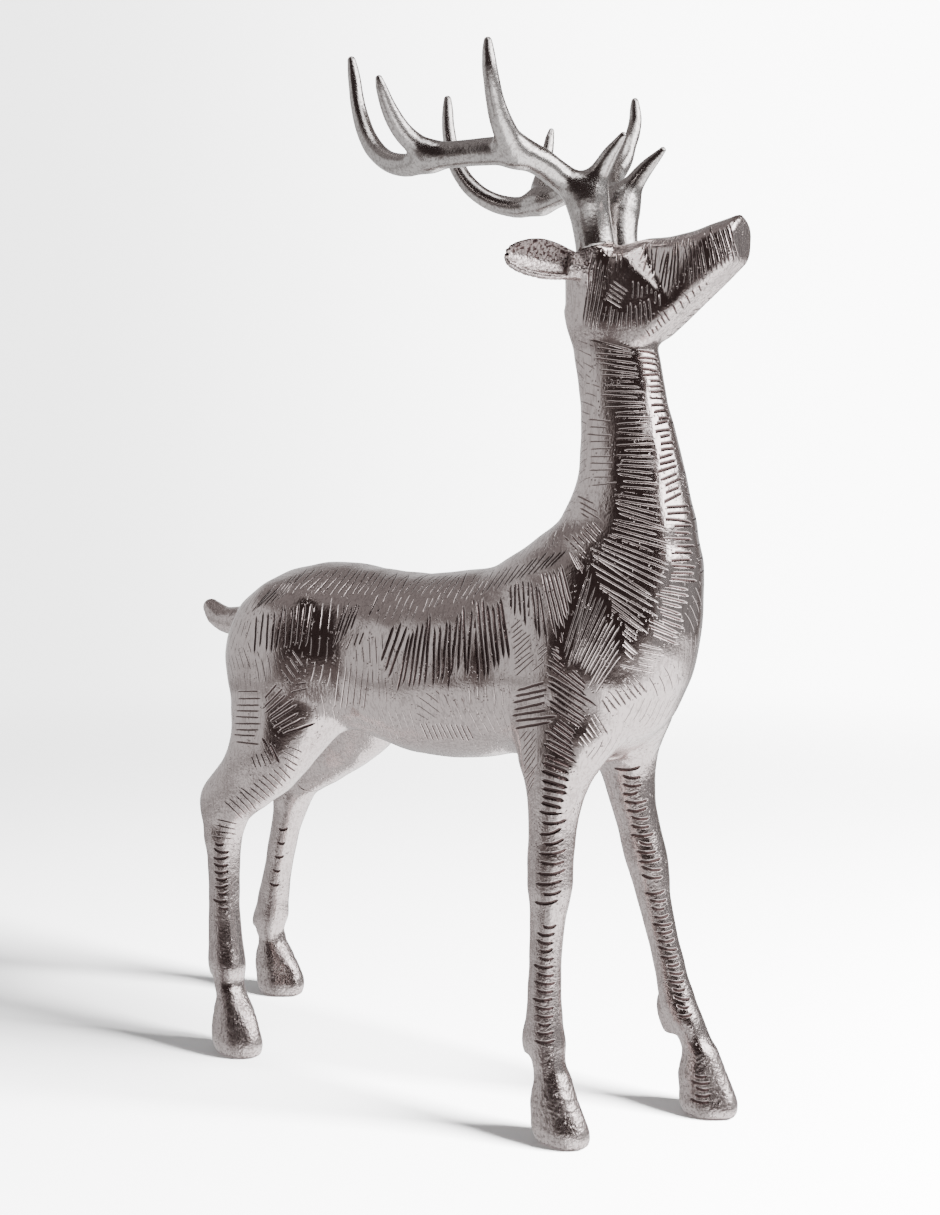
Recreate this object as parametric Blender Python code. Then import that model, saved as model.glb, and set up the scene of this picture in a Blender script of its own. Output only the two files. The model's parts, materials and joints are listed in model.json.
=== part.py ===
"""Standing reindeer figurine: one cast body and two cast antlers, faceted solids.

The deer looks along +X, its left side is +Y, up is +Z. Every form is a distance field
worked out from a few named stations, the fields are blended into each other, and the
zero level of the blend is meshed and thinned out to a light faceted solid.
"""

import math

import bpy
import numpy as np

MM = 0.001  # all sizes below are millimetres

# Overall stance
STRIDE = 44.0  # how far the left feet stand ahead of, and behind, the right ones
STRIDE_FOOT = 32.0  # height below which a leg no longer leans
FRONT_LEAN_TOP = 182.0  # height at which the left front leg starts to lean
HIND_LEAN_TOP = 166.0  # the same for the left hind leg

# Seats of the antlers: one tilted flat on the crown of the head
CROWN_X, CROWN_Z = 103.0, 423.0  # a point of the flat in the middle plane
CROWN_TILT = math.radians(13.0)  # the flat rises toward the forehead
CROWN_NORMAL = np.array((-math.sin(CROWN_TILT), 0.0, math.cos(CROWN_TILT)))
UP = np.array((0.0, 0.0, 1.0))
SEAT_GAP = 0.3  # clearance between an antler and the crown
SEAT_RADIUS = 10.6  # the flat kept clear around each antler's foot
STEM_Y = 11.2  # sideways place of an antler's foot

# Meshing
BODY_STEP = 1.6  # grid step of the body's field
ANTLER_STEP = 1.25  # grid step of an antler's field
BODY_FACES = 7300  # triangles kept on the body
ANTLER_FACES = 1280  # triangles kept on each antler
SOLE_SNAP, SEAT_SNAP = 0.7, 0.3  # vertices this near a flat are put on it
SLAB = 48  # grid planes worked out at a time

# Blends, the width over which two forms run into each other
BLEND_NECK, BLEND_HAUNCH, BLEND_SHOULDER = 24.0, 13.0, 11.0
BLEND_LEG, BLEND_HEAD, BLEND_TAIL, BLEND_EAR = 10.0, 5.0, 7.0, 3.0
BLEND_FACET = 3.2  # rounding between the planes of the head
BLEND_CLAW, BLEND_LEDGE, BLEND_HOLLOW = 1.6, 1.0, 0.9
BLEND_CROWN, BLEND_SOLE = 0.9, 1.2  # rounding of the edges of the flats

# Powers of the superellipse sections: 2 is an ellipse, more is squarer
BARREL_POWER, NECK_POWER, LEG_POWER = 2.15, 2.2, 2.3

# Barrel: x, centre z, half height, centre y, half width
BARREL = (
    (-131.0, 226.0, 8.0, 0.0, 8.0),
    (-127.0, 224.0, 17.0, 0.0, 17.5),
    (-117.0, 223.5, 26.5, 0.0, 28.0),
    (-103.0, 224.5, 35.5, 0.0, 36.5),
    (-88.0, 226.0, 41.0, 0.0, 40.5),
    (-62.0, 227.0, 44.0, 0.0, 42.0),
    (-35.0, 224.3, 44.6, 0.0, 42.0),
    (0.0, 220.3, 47.2, 0.0, 42.5),
    (30.0, 222.5, 48.5, 0.0, 43.0),
    (60.0, 227.0, 47.0, 0.0, 42.0),
    (90.0, 230.0, 45.0, 0.0, 38.0),
    (112.0, 230.0, 38.0, 0.0, 30.0),
    (126.0, 230.0, 22.0, 0.0, 18.0),
)

# Chest and neck: z, centre x, half length, centre y, half width
NECK = (
    (184.0, 93.0, 16.0, 0.0, 17.0),
    (190.0, 94.0, 27.0, 0.0, 26.0),
    (199.0, 96.0, 35.0, 0.0, 32.0),
    (210.0, 98.5, 39.5, 0.0, 35.0),
    (225.0, 101.0, 45.0, 0.0, 37.5),
    (249.0, 103.0, 48.5, 0.0, 37.0),
    (264.0, 104.0, 48.0, 0.0, 35.5),
    (276.0, 105.5, 46.8, 0.0, 33.0),
    (287.5, 110.0, 40.1, 0.0, 30.0),
    (300.0, 116.0, 32.3, 0.0, 25.5),
    (316.5, 117.6, 26.7, 0.0, 21.5),
    (335.5, 115.8, 23.6, 0.0, 18.5),
    (354.0, 112.7, 21.3, 0.0, 15.8),
    (373.0, 109.2, 20.9, 0.0, 14.8),
    (396.0, 104.0, 20.7, 0.0, 14.4),
)

# Right front leg: z, centre x, half length, distance from the middle, half width
FRONT_LEG = (
    (0.0, 102.6, 14.0, 34.4, 9.9),
    (4.0, 102.2, 14.8, 34.6, 10.7),
    (10.0, 101.2, 14.4, 35.0, 10.9),
    (19.7, 98.6, 12.4, 35.0, 10.3),
    (29.5, 97.2, 9.2, 35.0, 8.5),
    (36.4, 95.2, 8.0, 35.0, 7.8),
    (47.8, 92.4, 9.4, 34.0, 8.6),
    (57.5, 91.4, 9.0, 34.0, 8.1),
    (67.6, 91.4, 8.1, 34.0, 7.5),
    (87.0, 91.7, 7.7, 33.5, 7.3),
    (107.0, 92.5, 8.6, 33.0, 8.1),
    (117.0, 93.3, 9.8, 33.0, 9.0),
    (126.7, 93.7, 11.0, 33.0, 10.0),
    (136.5, 93.9, 10.9, 33.0, 10.0),
    (146.3, 94.2, 11.0, 32.5, 10.4),
    (155.8, 94.7, 11.8, 32.0, 11.1),
    (165.5, 95.6, 13.2, 32.0, 12.2),
    (175.3, 96.3, 16.2, 31.5, 13.6),
    (185.0, 96.6, 20.5, 30.5, 14.8),
    (199.0, 98.0, 23.5, 28.0, 14.5),
    (213.0, 99.0, 21.0, 24.0, 11.5),
    (226.0, 99.0, 11.0, 20.0, 5.0),
)

# Right hind leg: z, centre x, half length, distance from the middle, half width
HIND_LEG = (
    (0.0, -101.6, 14.4, 41.6, 10.4),
    (4.0, -101.9, 15.4, 41.8, 11.1),
    (10.0, -102.6, 15.8, 42.0, 11.2),
    (22.4, -105.6, 12.6, 41.0, 9.9),
    (33.3, -108.4, 7.9, 41.0, 7.9),
    (38.5, -110.6, 8.3, 40.0, 8.0),
    (49.0, -112.0, 10.4, 39.5, 8.6),
    (60.0, -113.7, 9.8, 39.0, 8.0),
    (82.5, -115.3, 8.7, 38.0, 7.5),
    (105.0, -116.1, 9.2, 37.0, 8.0),
    (116.2, -116.2, 10.5, 37.0, 8.9),
    (127.4, -115.6, 13.4, 36.0, 10.0),
    (139.8, -108.2, 22.8, 36.0, 11.4),
    (152.3, -96.0, 27.6, 35.0, 13.2),
    (164.7, -84.4, 27.8, 35.0, 15.2),
    (176.1, -79.0, 28.6, 33.5, 16.6),
    (190.0, -77.0, 31.0, 30.0, 16.5),
    (205.0, -76.0, 28.0, 26.0, 12.5),
    (220.0, -76.0, 16.0, 20.0, 5.0),
)

# Dewclaws stand out behind the fetlock and end below in a ledge: x, height, height of ledge
DEWCLAW_SIZE = (6.6, 6.6, 13.0)
RIGHT_FRONT_CLAW, LEFT_FRONT_CLAW = (86.6, 48.0, 40.5), (84.8, 45.5, 38.0)
HIND_CLAW = (-118.0, 48.0, 40.5)

# Muscles: centre, then half sizes along x, y and z; mirrored to the other side
HAUNCH = ((-75.5, 27.0, 213.0), (40.0, 20.5, 46.0))
SHOULDER = ((101.0, 25.0, 226.0), (29.0, 16.5, 45.0))

# Tail: x, z, radius along its middle line
TAIL = (
    (-118.0, 234.0, 11.0),
    (-134.0, 234.0, 8.8),
    (-145.0, 234.0, 7.7),
    (-153.0, 236.5, 6.8),
    (-158.6, 240.8, 4.9),
)

# Head: a wedge under a ridge line (x, z), shut by planes across the deer. Each plane is
# a point (x, z) and the slope of its normal
HEAD_RIDGE = ((84.0, 425.0), (104.0, 428.0), (120.0, 428.6), (134.0, 428.8),
              (147.0, 430.2), (159.0, 433.0), (172.0, 436.0))
HEAD_UNDER = ((148.2, 396.4), math.radians(-52.0))
HEAD_JAW = ((114.0, 381.0), math.radians(-91.0))
HEAD_NAPE = ((84.0, 396.0), math.radians(206.0))
HEAD_NOSE = ((172.3, 430.0), math.radians(0.5))
HEAD_REAR_X, HEAD_REAR_DEEP, HEAD_REAR_HALF = 105.0, 22.5, 17.6  # round back, seen from above
HEAD_SIDE_X, HEAD_SIDE_HALF = 118.0, 17.4  # half width of the head at this x
HEAD_SIDE_TAPER = math.radians(8.6)  # how fast the sides run together toward the nose
HEAD_SIDE_FALL = math.radians(4.0)  # the sides lean in toward the jaw
HEAD_SIDE_Z = 405.0
HEAD_ROOF_FALL = math.radians(33.0)  # slope of the two roof planes beside the ridge
HEAD_ROOF_LIFT = 1.2  # how far above the ridge the roof planes would meet
JAW_BEVEL_TURN, JAW_BEVEL_RISE = math.radians(30.0), 10.0  # the cheeks turn in above the jaw
BOSS_RADIUS, BOSS_TAPER = 9.7, 0.28  # pedicle under each antler, narrowing downward

# Ear: root, direction from root to tip, outline half heights along it
EAR_ROOT = (101.5, 15.5, 413.8)
EAR_REACH = (-29.0, 28.5, 7.8)
EAR_OUTLINE = (
    (0.0, 0.0, 5.3, 0.0, 4.8),
    (4.7, 0.2, 5.9, 0.0, 4.6),
    (10.2, 0.6, 7.2, 0.0, 4.4),
    (16.7, 0.9, 8.6, 0.0, 4.4),
    (23.2, 0.8, 9.2, 0.0, 4.2),
    (28.8, 0.3, 8.5, 0.0, 3.8),
    (33.9, -0.3, 6.8, 0.0, 3.0),
    (37.7, -0.8, 4.7, 0.0, 2.2),
    (39.6, -1.0, 2.3, 0.0, 1.4),
)
EAR_RIM, EAR_RIM_DEPTH = 1.9, 0.4  # width of the rim around the hollow, and its height
EAR_HOLLOW_SHIFT = 3.3  # the hollow's middle lies this far out of the ear's middle
EAR_HOLLOW_START = 7.5  # the hollow begins this far from the root

# Antlers: x, distance from the middle, z, radius along each branch
STEM = (
    (103.8, 11.2, 417.0, 9.6),
    (103.4, 11.2, 423.0, 9.3),
    (102.4, 12.0, 431.4, 9.2),
    (101.3, 14.0, 441.3, 9.5),
    (100.4, 16.0, 448.5, 8.6),
)
BROW = (
    (102.6, 16.0, 448.0, 6.9),
    (106.2, 16.5, 454.6, 5.5),
    (110.0, 17.0, 459.8, 4.4),
    (114.4, 18.0, 464.9, 3.5),
    (118.1, 18.7, 468.4, 2.6),
    (121.7, 19.4, 471.9, 1.6),
)
BEAM = (
    (100.6, 16.0, 446.5, 7.8),
    (96.2, 19.0, 451.5, 6.9),
    (90.7, 26.0, 457.3, 6.4),
    (86.2, 34.5, 462.3, 6.5),
    (79.6, 42.0, 465.4, 6.6),
    (69.1, 46.0, 466.6, 6.3),
    (55.2, 47.5, 467.0, 6.0),
    (44.0, 48.5, 467.1, 6.0),
    (33.9, 49.5, 467.3, 5.8),
)
TALL_TINE = (
    (79.2, 42.0, 465.9, 6.4),
    (79.5, 51.0, 472.2, 5.6),
    (80.0, 57.5, 478.8, 4.8),
    (80.2, 61.5, 485.4, 4.1),
    (80.9, 65.0, 492.3, 3.7),
    (81.1, 67.2, 499.5, 3.3),
    (80.7, 67.5, 505.0, 2.7),
    (80.5, 67.5, 508.7, 1.9),
)
INNER_TINE = (
    (38.0, 49.0, 467.6, 5.6),
    (32.9, 53.6, 472.6, 5.0),
    (30.8, 59.0, 478.5, 4.4),
    (29.4, 64.0, 484.5, 3.8),
    (28.0, 68.5, 490.1, 3.2),
    (26.8, 72.5, 495.2, 2.6),
    (25.9, 75.0, 498.8, 1.7),
)
OUTER_TINE = (
    (34.0, 49.5, 466.4, 5.6),
    (23.2, 48.5, 465.0, 5.4),
    (13.3, 46.5, 466.9, 5.1),
    (3.5, 43.5, 471.4, 4.8),
    (-4.4, 41.5, 478.1, 4.6),
    (-10.5, 40.0, 486.9, 4.3),
    (-14.7, 39.0, 497.1, 3.8),
    (-16.5, 39.0, 506.4, 3.4),
    (-17.3, 39.8, 514.9, 2.9),
    (-17.9, 40.5, 520.5, 2.1),
)
ANTLER_WEB = 5.0  # blend between the branches
LEFT_SAG = 6.5  # the left antler's end fork hangs this much lower than the right one's
LEFT_SAG_FROM, LEFT_SAG_TO = 70.0, 36.0  # the sag grows between these x values
LEFT_SAG_TIP, LEFT_SAG_TOP = 478.0, 506.0  # a tine keeps only its share of the sag up here
INNER_SAG_KEPT, OUTER_SAG_KEPT = -0.5, 0.45

BODY_BOX = ((-172.0, -62.0, -6.0), (182.0, 62.0, 440.0))
ANTLER_BOX = ((-26.0, -4.0, 410.0), (130.0, 82.0, 528.0))

POLISHED, POLISHED_ROUGHNESS = (0.72, 0.70, 0.69), 0.22
SATIN, SATIN_ROUGHNESS = (0.66, 0.64, 0.62), 0.36


def eased(low, high, value):
    """A soft step from 0 at low to 1 at high."""
    t = np.clip((value - low) / (high - low), 0.0, 1.0)
    return t * t * (3.0 - 2.0 * t)


def stations_at(table, where):
    """The columns of a station table at the given places, by a monotone cubic."""
    rows = np.array(table)
    key, columns = rows[:, 0], rows[:, 1:]
    width = np.diff(key)[:, None]
    rise = np.diff(columns, axis=0) / width
    inner = rise[:-1] * rise[1:]
    mean = np.where(inner > 0, 2.0 * inner / (rise[:-1] + rise[1:] + (inner <= 0)), 0.0)
    slope = np.vstack([rise[:1], mean, rise[-1:]])
    at = np.clip(where, key[0], key[-1])
    row = np.clip(np.searchsorted(key, at, side="right") - 1, 0, len(key) - 2)
    span = width[row]
    t = (at - key[row])[..., None] / span
    first = columns[row] * (1 + 2 * t) * (1 - t) ** 2 + slope[row] * span * t * (1 - t) ** 2
    last = columns[row + 1] * t * t * (3 - 2 * t) + slope[row + 1] * span * t * t * (t - 1)
    return first + last


def smooth_union(a, b, blend):
    """The lower of two fields, rounded where they cross."""
    share = np.clip(0.5 + 0.5 * (b - a) / blend, 0.0, 1.0)
    return b + (a - b) * share - blend * share * (1.0 - share)


def smooth_cut(a, b, blend):
    """The higher of two fields, rounded where they cross."""
    return -smooth_union(-a, -b, blend)


def section_field(u, v, half_u, half_v, power):
    """Distance from a superellipse, measured along the ray from its middle."""
    reach = np.hypot(u, v)
    ratio = (np.abs(u / half_u) ** power + np.abs(v / half_v) ** power) ** (1.0 / power)
    ratio = np.maximum(ratio, 1e-3)
    return reach - np.maximum(reach, 1e-3) / ratio


def loft_field(along, u, v, table, power=2.0):
    """Distance from a form whose sections across 'along' are read from a table."""
    line = along.ravel()
    values, back = np.unique(line, return_inverse=True)
    columns = stations_at(table, values)[back].reshape(along.shape + (4,))
    cu, hu, cv, hv = (columns[..., i] for i in range(4))
    side = section_field(u - cu, v - cv, hu, hv, power)
    past = np.maximum(table[0][0] - along, along - table[-1][0])
    outside = np.hypot(np.maximum(side, 0.0), np.maximum(past, 0.0))
    return outside + np.minimum(np.maximum(side, past), 0.0)


def ball_field(x, y, z, centre, size):
    """Distance from an ellipsoid, nearly."""
    scaled = [(q - c) / s for q, c, s in zip((x, y, z), centre, size)]
    reach = np.sqrt(sum(p * p for p in scaled))
    steepness = np.sqrt(sum((p / s) ** 2 for p, s in zip(scaled, size)))
    return reach * (reach - 1.0) / np.maximum(steepness, 1e-6)


def branch_field(x, y, z, table, samples=26):
    """Distance from a tapering round branch through the rows (x, y, z, radius) of a table."""
    rows = np.array(table)
    steps = np.linalg.norm(np.diff(rows[:, :3], axis=0), axis=1)
    key = np.concatenate([[0.0], np.cumsum(steps)])
    line = stations_at(np.column_stack([key, rows]), np.linspace(0.0, key[-1], samples))
    best = np.full(x.shape, np.inf)
    for start, end in zip(line[:-1], line[1:]):
        way = end[:3] - start[:3]
        from_start = (x - start[0], y - start[1], z - start[2])
        along = sum(p * d for p, d in zip(from_start, way)) / (way @ way)
        along = np.clip(along, 0.0, 1.0)
        gap = np.sqrt(sum((p - d * along) ** 2 for p, d in zip(from_start, way)))
        best = np.minimum(best, gap - (start[3] + (end[3] - start[3]) * along))
    return best


def crown_height(x, z):
    """Height above the flat that the antlers stand on."""
    return (z - CROWN_Z) * math.cos(CROWN_TILT) - (x - CROWN_X) * math.sin(CROWN_TILT)


def plane_field(x, z, plane):
    """Signed height above a plane that runs across the deer."""
    (px, pz), turn = plane
    return (x - px) * math.cos(turn) + (z - pz) * math.sin(turn)


def head_field(x, y, z):
    """The head as the rounded common part of its planes, with two pedicles."""
    side = np.abs(y)
    cheek = (side - HEAD_SIDE_HALF) * math.cos(HEAD_SIDE_TAPER)
    cheek += (x - HEAD_SIDE_X) * math.sin(HEAD_SIDE_TAPER)
    cheek -= (z - HEAD_SIDE_Z) * math.sin(HEAD_SIDE_FALL)
    ridge = z - stations_at(HEAD_RIDGE, x)[..., 0]
    roof = (ridge - HEAD_ROOF_LIFT) * math.cos(HEAD_ROOF_FALL) + side * math.sin(HEAD_ROOF_FALL)
    head = smooth_cut(ridge, roof, BLEND_FACET)
    rear = np.minimum(x - HEAD_REAR_X, 0.0)
    rear = section_field(rear, side, HEAD_REAR_DEEP, HEAD_REAR_HALF, 2.0)
    wall = smooth_cut(cheek, rear, BLEND_FACET)
    head = smooth_cut(head, wall, BLEND_FACET)
    for plane in (HEAD_UNDER, HEAD_NAPE, HEAD_NOSE, HEAD_JAW):
        head = smooth_cut(head, plane_field(x, z, plane), BLEND_FACET)
    bevel = (plane_field(x, z, HEAD_JAW) + JAW_BEVEL_RISE) * math.sin(JAW_BEVEL_TURN)
    bevel += wall * math.cos(JAW_BEVEL_TURN)
    head = smooth_cut(head, bevel, BLEND_FACET)
    depth = -crown_height(x, z)
    boss = np.hypot(x - CROWN_X, side - STEM_Y) - BOSS_RADIUS + BOSS_TAPER * depth
    head = smooth_union(head, boss, BLEND_HEAD)
    return smooth_cut(head, -depth, BLEND_CROWN)


def ear_field(x, y, z):
    """A leaf-shaped ear with a hollow that opens forward and outward."""
    reach = np.array(EAR_REACH) / np.linalg.norm(EAR_REACH)
    level = np.array((-reach[1], reach[0], 0.0))
    face = -level / np.linalg.norm(level)
    lift = np.cross(face, reach)
    lift *= np.sign(lift[2])
    from_root = (x - EAR_ROOT[0], y - EAR_ROOT[1], z - EAR_ROOT[2])
    along, up, out = (
        sum(p * d for p, d in zip(from_root, way)) for way in (reach, lift, face)
    )
    ear = loft_field(along, up, out, EAR_OUTLINE)
    hollow = [
        (at, middle, max(half - EAR_RIM, EAR_RIM_DEPTH), centre + EAR_HOLLOW_SHIFT,
         deep - EAR_RIM_DEPTH)
        for at, middle, half, centre, deep in EAR_OUTLINE
        if at >= EAR_HOLLOW_START
    ]
    return smooth_cut(ear, -loft_field(along, up, out, hollow), BLEND_HOLLOW)


def leg_field(x, y, z, table, lean_top, stride, dewclaw):
    """A leg that stands 'stride' ahead of its station table at the foot."""
    lean = stride * np.clip((lean_top - z) / (lean_top - STRIDE_FOOT), 0.0, 1.0)
    x = x - lean
    leg = loft_field(z, x, y, table, LEG_POWER)
    claw_x, claw_z, ledge = dewclaw
    claw_y = np.interp(claw_z, [row[0] for row in table], [row[3] for row in table])
    claw = ball_field(x, y, z, (claw_x, claw_y, claw_z), DEWCLAW_SIZE)
    claw = smooth_cut(claw, ledge - z, BLEND_LEDGE)
    return smooth_union(leg, claw, BLEND_CLAW)


def body_field(x, y, z):
    """The whole body: barrel, neck, head, ears, tail and four legs."""
    side = np.abs(y)
    body = loft_field(x, z, y, BARREL, BARREL_POWER)
    body = smooth_union(body, loft_field(z, x, y, NECK, NECK_POWER), BLEND_NECK)
    body = smooth_union(body, ball_field(x, side, z, *HAUNCH), BLEND_HAUNCH)
    body = smooth_union(body, ball_field(x, side, z, *SHOULDER), BLEND_SHOULDER)
    tail = branch_field(x, y, z, [(at, 0.0, up, radius) for at, up, radius in TAIL], 14)
    body = smooth_union(body, tail, BLEND_TAIL)
    for sign, step, claw in ((-1.0, 0.0, RIGHT_FRONT_CLAW), (1.0, STRIDE, LEFT_FRONT_CLAW)):
        leg = leg_field(x, y * sign, z, FRONT_LEG, FRONT_LEAN_TOP, step, claw)
        body = smooth_union(body, leg, BLEND_LEG)
        leg = leg_field(x, y * sign, z, HIND_LEG, HIND_LEAN_TOP, -step, HIND_CLAW)
        body = smooth_union(body, leg, BLEND_LEG)
    body = smooth_union(body, head_field(x, y, z), BLEND_HEAD)
    body = smooth_union(body, ear_field(x, side, z), BLEND_EAR)
    seat = np.hypot(x - CROWN_X, side - STEM_Y) - SEAT_RADIUS
    body = np.maximum(body, -np.maximum(seat, -crown_height(x, z)))
    return smooth_cut(body, -z, BLEND_SOLE)


def antler_field(x, y, z, sag):
    """An antler standing at +Y, its foot cut flat just above the crown."""
    antler = branch_field(x, y, z, STEM, 12)
    high = eased(LEFT_SAG_TIP, LEFT_SAG_TOP, z)
    for branch, kept in ((BEAM, 1.0), (BROW, 1.0), (TALL_TINE, 1.0),
                         (INNER_TINE, INNER_SAG_KEPT), (OUTER_TINE, OUTER_SAG_KEPT)):
        hang = sag * (1.0 + (kept - 1.0) * high) * eased(LEFT_SAG_FROM, LEFT_SAG_TO, x)
        antler = smooth_union(antler, branch_field(x, y, z + hang, branch), ANTLER_WEB)
    return np.maximum(antler, SEAT_GAP - crown_height(x, z))


def grid_field(field, box, step):
    """The field on a regular grid over a box, worked out slab by slab."""
    axes = [np.arange(low, high + step, step) for low, high in zip(*box)]
    slabs = []
    for start in range(0, len(axes[0]), SLAB):
        x, y, z = np.meshgrid(axes[0][start : start + SLAB], axes[1], axes[2], indexing="ij")
        slabs.append(field(x, y, z))
    return np.concatenate(slabs), np.array(box[0])


CORNERS = np.array([(i, j, k) for i in (0, 1) for j in (0, 1) for k in (0, 1)])


def surface_net(values, origin, step):
    """Vertices and quads of the zero level: one vertex in each cell it passes through."""
    inside = values < 0.0
    shape = np.array(values.shape) - 1
    count = np.zeros(shape, np.int8)
    for i, j, k in CORNERS:
        count += inside[i : i + shape[0], j : j + shape[1], k : k + shape[2]]
    cells = np.argwhere((count > 0) & (count < 8))
    number = np.full(shape, -1, np.int64)
    number[tuple(cells.T)] = np.arange(len(cells))
    total, hits = np.zeros((len(cells), 3)), np.zeros((len(cells), 1))
    for corner in CORNERS:
        for axis in range(3):
            if corner[axis]:
                continue
            way = np.eye(3, dtype=int)[axis]
            low = values[tuple((cells + corner).T)]
            high = values[tuple((cells + corner + way).T)]
            cross = (low < 0.0) != (high < 0.0)
            t = np.where(cross, low / np.where(cross, low - high, 1.0), 0.0)
            total += cross[:, None] * (corner + t[:, None] * way)
            hits += cross[:, None]
    points = origin + step * (cells + total / hits)
    quads = []
    for axis in range(3):
        first = [slice(None)] * 3
        second = [slice(None)] * 3
        first[axis], second[axis] = slice(0, -1), slice(1, None)
        one, two = inside[tuple(first)], inside[tuple(second)]
        edges = np.argwhere(one != two)
        u, v = np.eye(3, dtype=int)[(axis + 1) % 3], np.eye(3, dtype=int)[(axis + 2) % 3]
        ring = [number[tuple((edges - s).T)] for s in (u + v, v, 0 * u, u)]
        ring = np.column_stack(ring)
        out = one[tuple(edges.T)]
        quads.append(np.where(out[:, None], ring, ring[:, ::-1]))
    return points, np.concatenate(quads)


def thinned(name, points, quads, faces, flats):
    """A mesh thinned out to a number of triangles, its flats made exact again."""
    mesh = bpy.data.meshes.new(name + "_fine")
    mesh.from_pydata(points.tolist(), [], quads.tolist())
    fine = bpy.data.objects.new(name + "_fine", mesh)
    bpy.context.scene.collection.objects.link(fine)
    thin = fine.modifiers.new("thin", "DECIMATE")
    thin.ratio = faces / (2.0 * len(quads))
    thin.use_collapse_triangulate = True
    graph = bpy.context.evaluated_depsgraph_get()
    light = bpy.data.meshes.new_from_object(fine.evaluated_get(graph))
    light.name = name
    bpy.data.objects.remove(fine)
    spots = np.empty(3 * len(light.vertices))
    light.vertices.foreach_get("co", spots)
    spots = spots.reshape(-1, 3)
    for height, normal, snap in flats:
        over = height(spots)
        spots -= np.where(np.abs(over) < snap, over, 0.0)[:, None] * normal
    light.vertices.foreach_set("co", spots.ravel())
    light.update()
    return light


def metal(name, colour, roughness):
    """A plain metal finish."""
    material = bpy.data.materials.new(name)
    material.use_nodes = True
    shader = material.node_tree.nodes["Principled BSDF"]
    shader.inputs["Base Color"].default_value = (*colour, 1.0)
    shader.inputs["Metallic"].default_value = 1.0
    shader.inputs["Roughness"].default_value = roughness
    return material


def above_soles(points):
    """Height of points above the plane of the four soles."""
    return points[:, 2]


def above_seats(points):
    """Height of points above the antlers' seats, or well off them elsewhere."""
    from_stem = np.hypot(points[:, 0] - CROWN_X, np.abs(points[:, 1]) - STEM_Y)
    return np.where(from_stem < SEAT_RADIUS, crown_height(points[:, 0], points[:, 2]), 1.0)


def above_foot(points):
    """Height of points above the flat foot of an antler."""
    return crown_height(points[:, 0], points[:, 2]) - SEAT_GAP


def antler_mesh(name, sign, sag):
    """The mesh of one antler: sign -1 is the right one, 1 the left one."""

    def field(x, y, z):
        return antler_field(x, y, z, sag)

    values, origin = grid_field(field, ANTLER_BOX, ANTLER_STEP)
    points, quads = surface_net(values, origin, ANTLER_STEP)
    if sign < 0:
        points, quads = points * (1.0, -1.0, 1.0), quads[:, ::-1]
    flats = ((above_foot, CROWN_NORMAL, SEAT_SNAP),)
    return thinned(name, points, quads, ANTLER_FACES, flats)


def build():
    """Meshes the three castings and stands the figure over the origin."""
    for item in list(bpy.data.objects):
        bpy.data.objects.remove(item)
    holder = bpy.data.collections.new("reindeer")
    bpy.context.scene.collection.children.link(holder)
    values, origin = grid_field(body_field, BODY_BOX, BODY_STEP)
    points, quads = surface_net(values, origin, BODY_STEP)
    flats = ((above_soles, UP, SOLE_SNAP), (above_seats, CROWN_NORMAL, SEAT_SNAP))
    meshes = {
        "body": thinned("body", points, quads, BODY_FACES, flats),
        "antler_right": antler_mesh("antler_right", -1, 0.0),
        "antler_left": antler_mesh("antler_left", 1, LEFT_SAG),
    }
    spots = {}
    for name, mesh in meshes.items():
        spots[name] = np.empty(3 * len(mesh.vertices))
        mesh.vertices.foreach_get("co", spots[name])
        spots[name] = spots[name].reshape(-1, 3)
    everything = np.concatenate(list(spots.values()))
    low, high = everything.min(axis=0), everything.max(axis=0)
    middle = np.array([(low[0] + high[0]) / 2, (low[1] + high[1]) / 2, low[2]])
    finishes = {
        "body": metal("polished_aluminium", POLISHED, POLISHED_ROUGHNESS),
        "antler": metal("satin_aluminium", SATIN, SATIN_ROUGHNESS),
    }
    for name, mesh in meshes.items():
        mesh.vertices.foreach_set("co", ((spots[name] - middle) * MM).ravel())
        mesh.update()
        piece = bpy.data.objects.new(name, mesh)
        mesh.materials.append(finishes[name.split("_")[0]])
        holder.objects.link(piece)


build()
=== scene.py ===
"""The reindeer figurine, dressed: fine cast surfaces, hand-chased strokes and a pale studio.

The castings are the same distance fields as the solids, worked out on a finer lattice and
pulled exactly onto their zero level. The chased strokes are laid out in rows on the skin, and
each face keeps its places beside its two nearest strokes, which the relief is worked out from.
"""

import json
import logging
import math
from dataclasses import dataclass, field
from enum import Enum
from typing import Callable

import bpy
import numpy as np
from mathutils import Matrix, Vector
from mathutils.bvhtree import BVHTree

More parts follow.
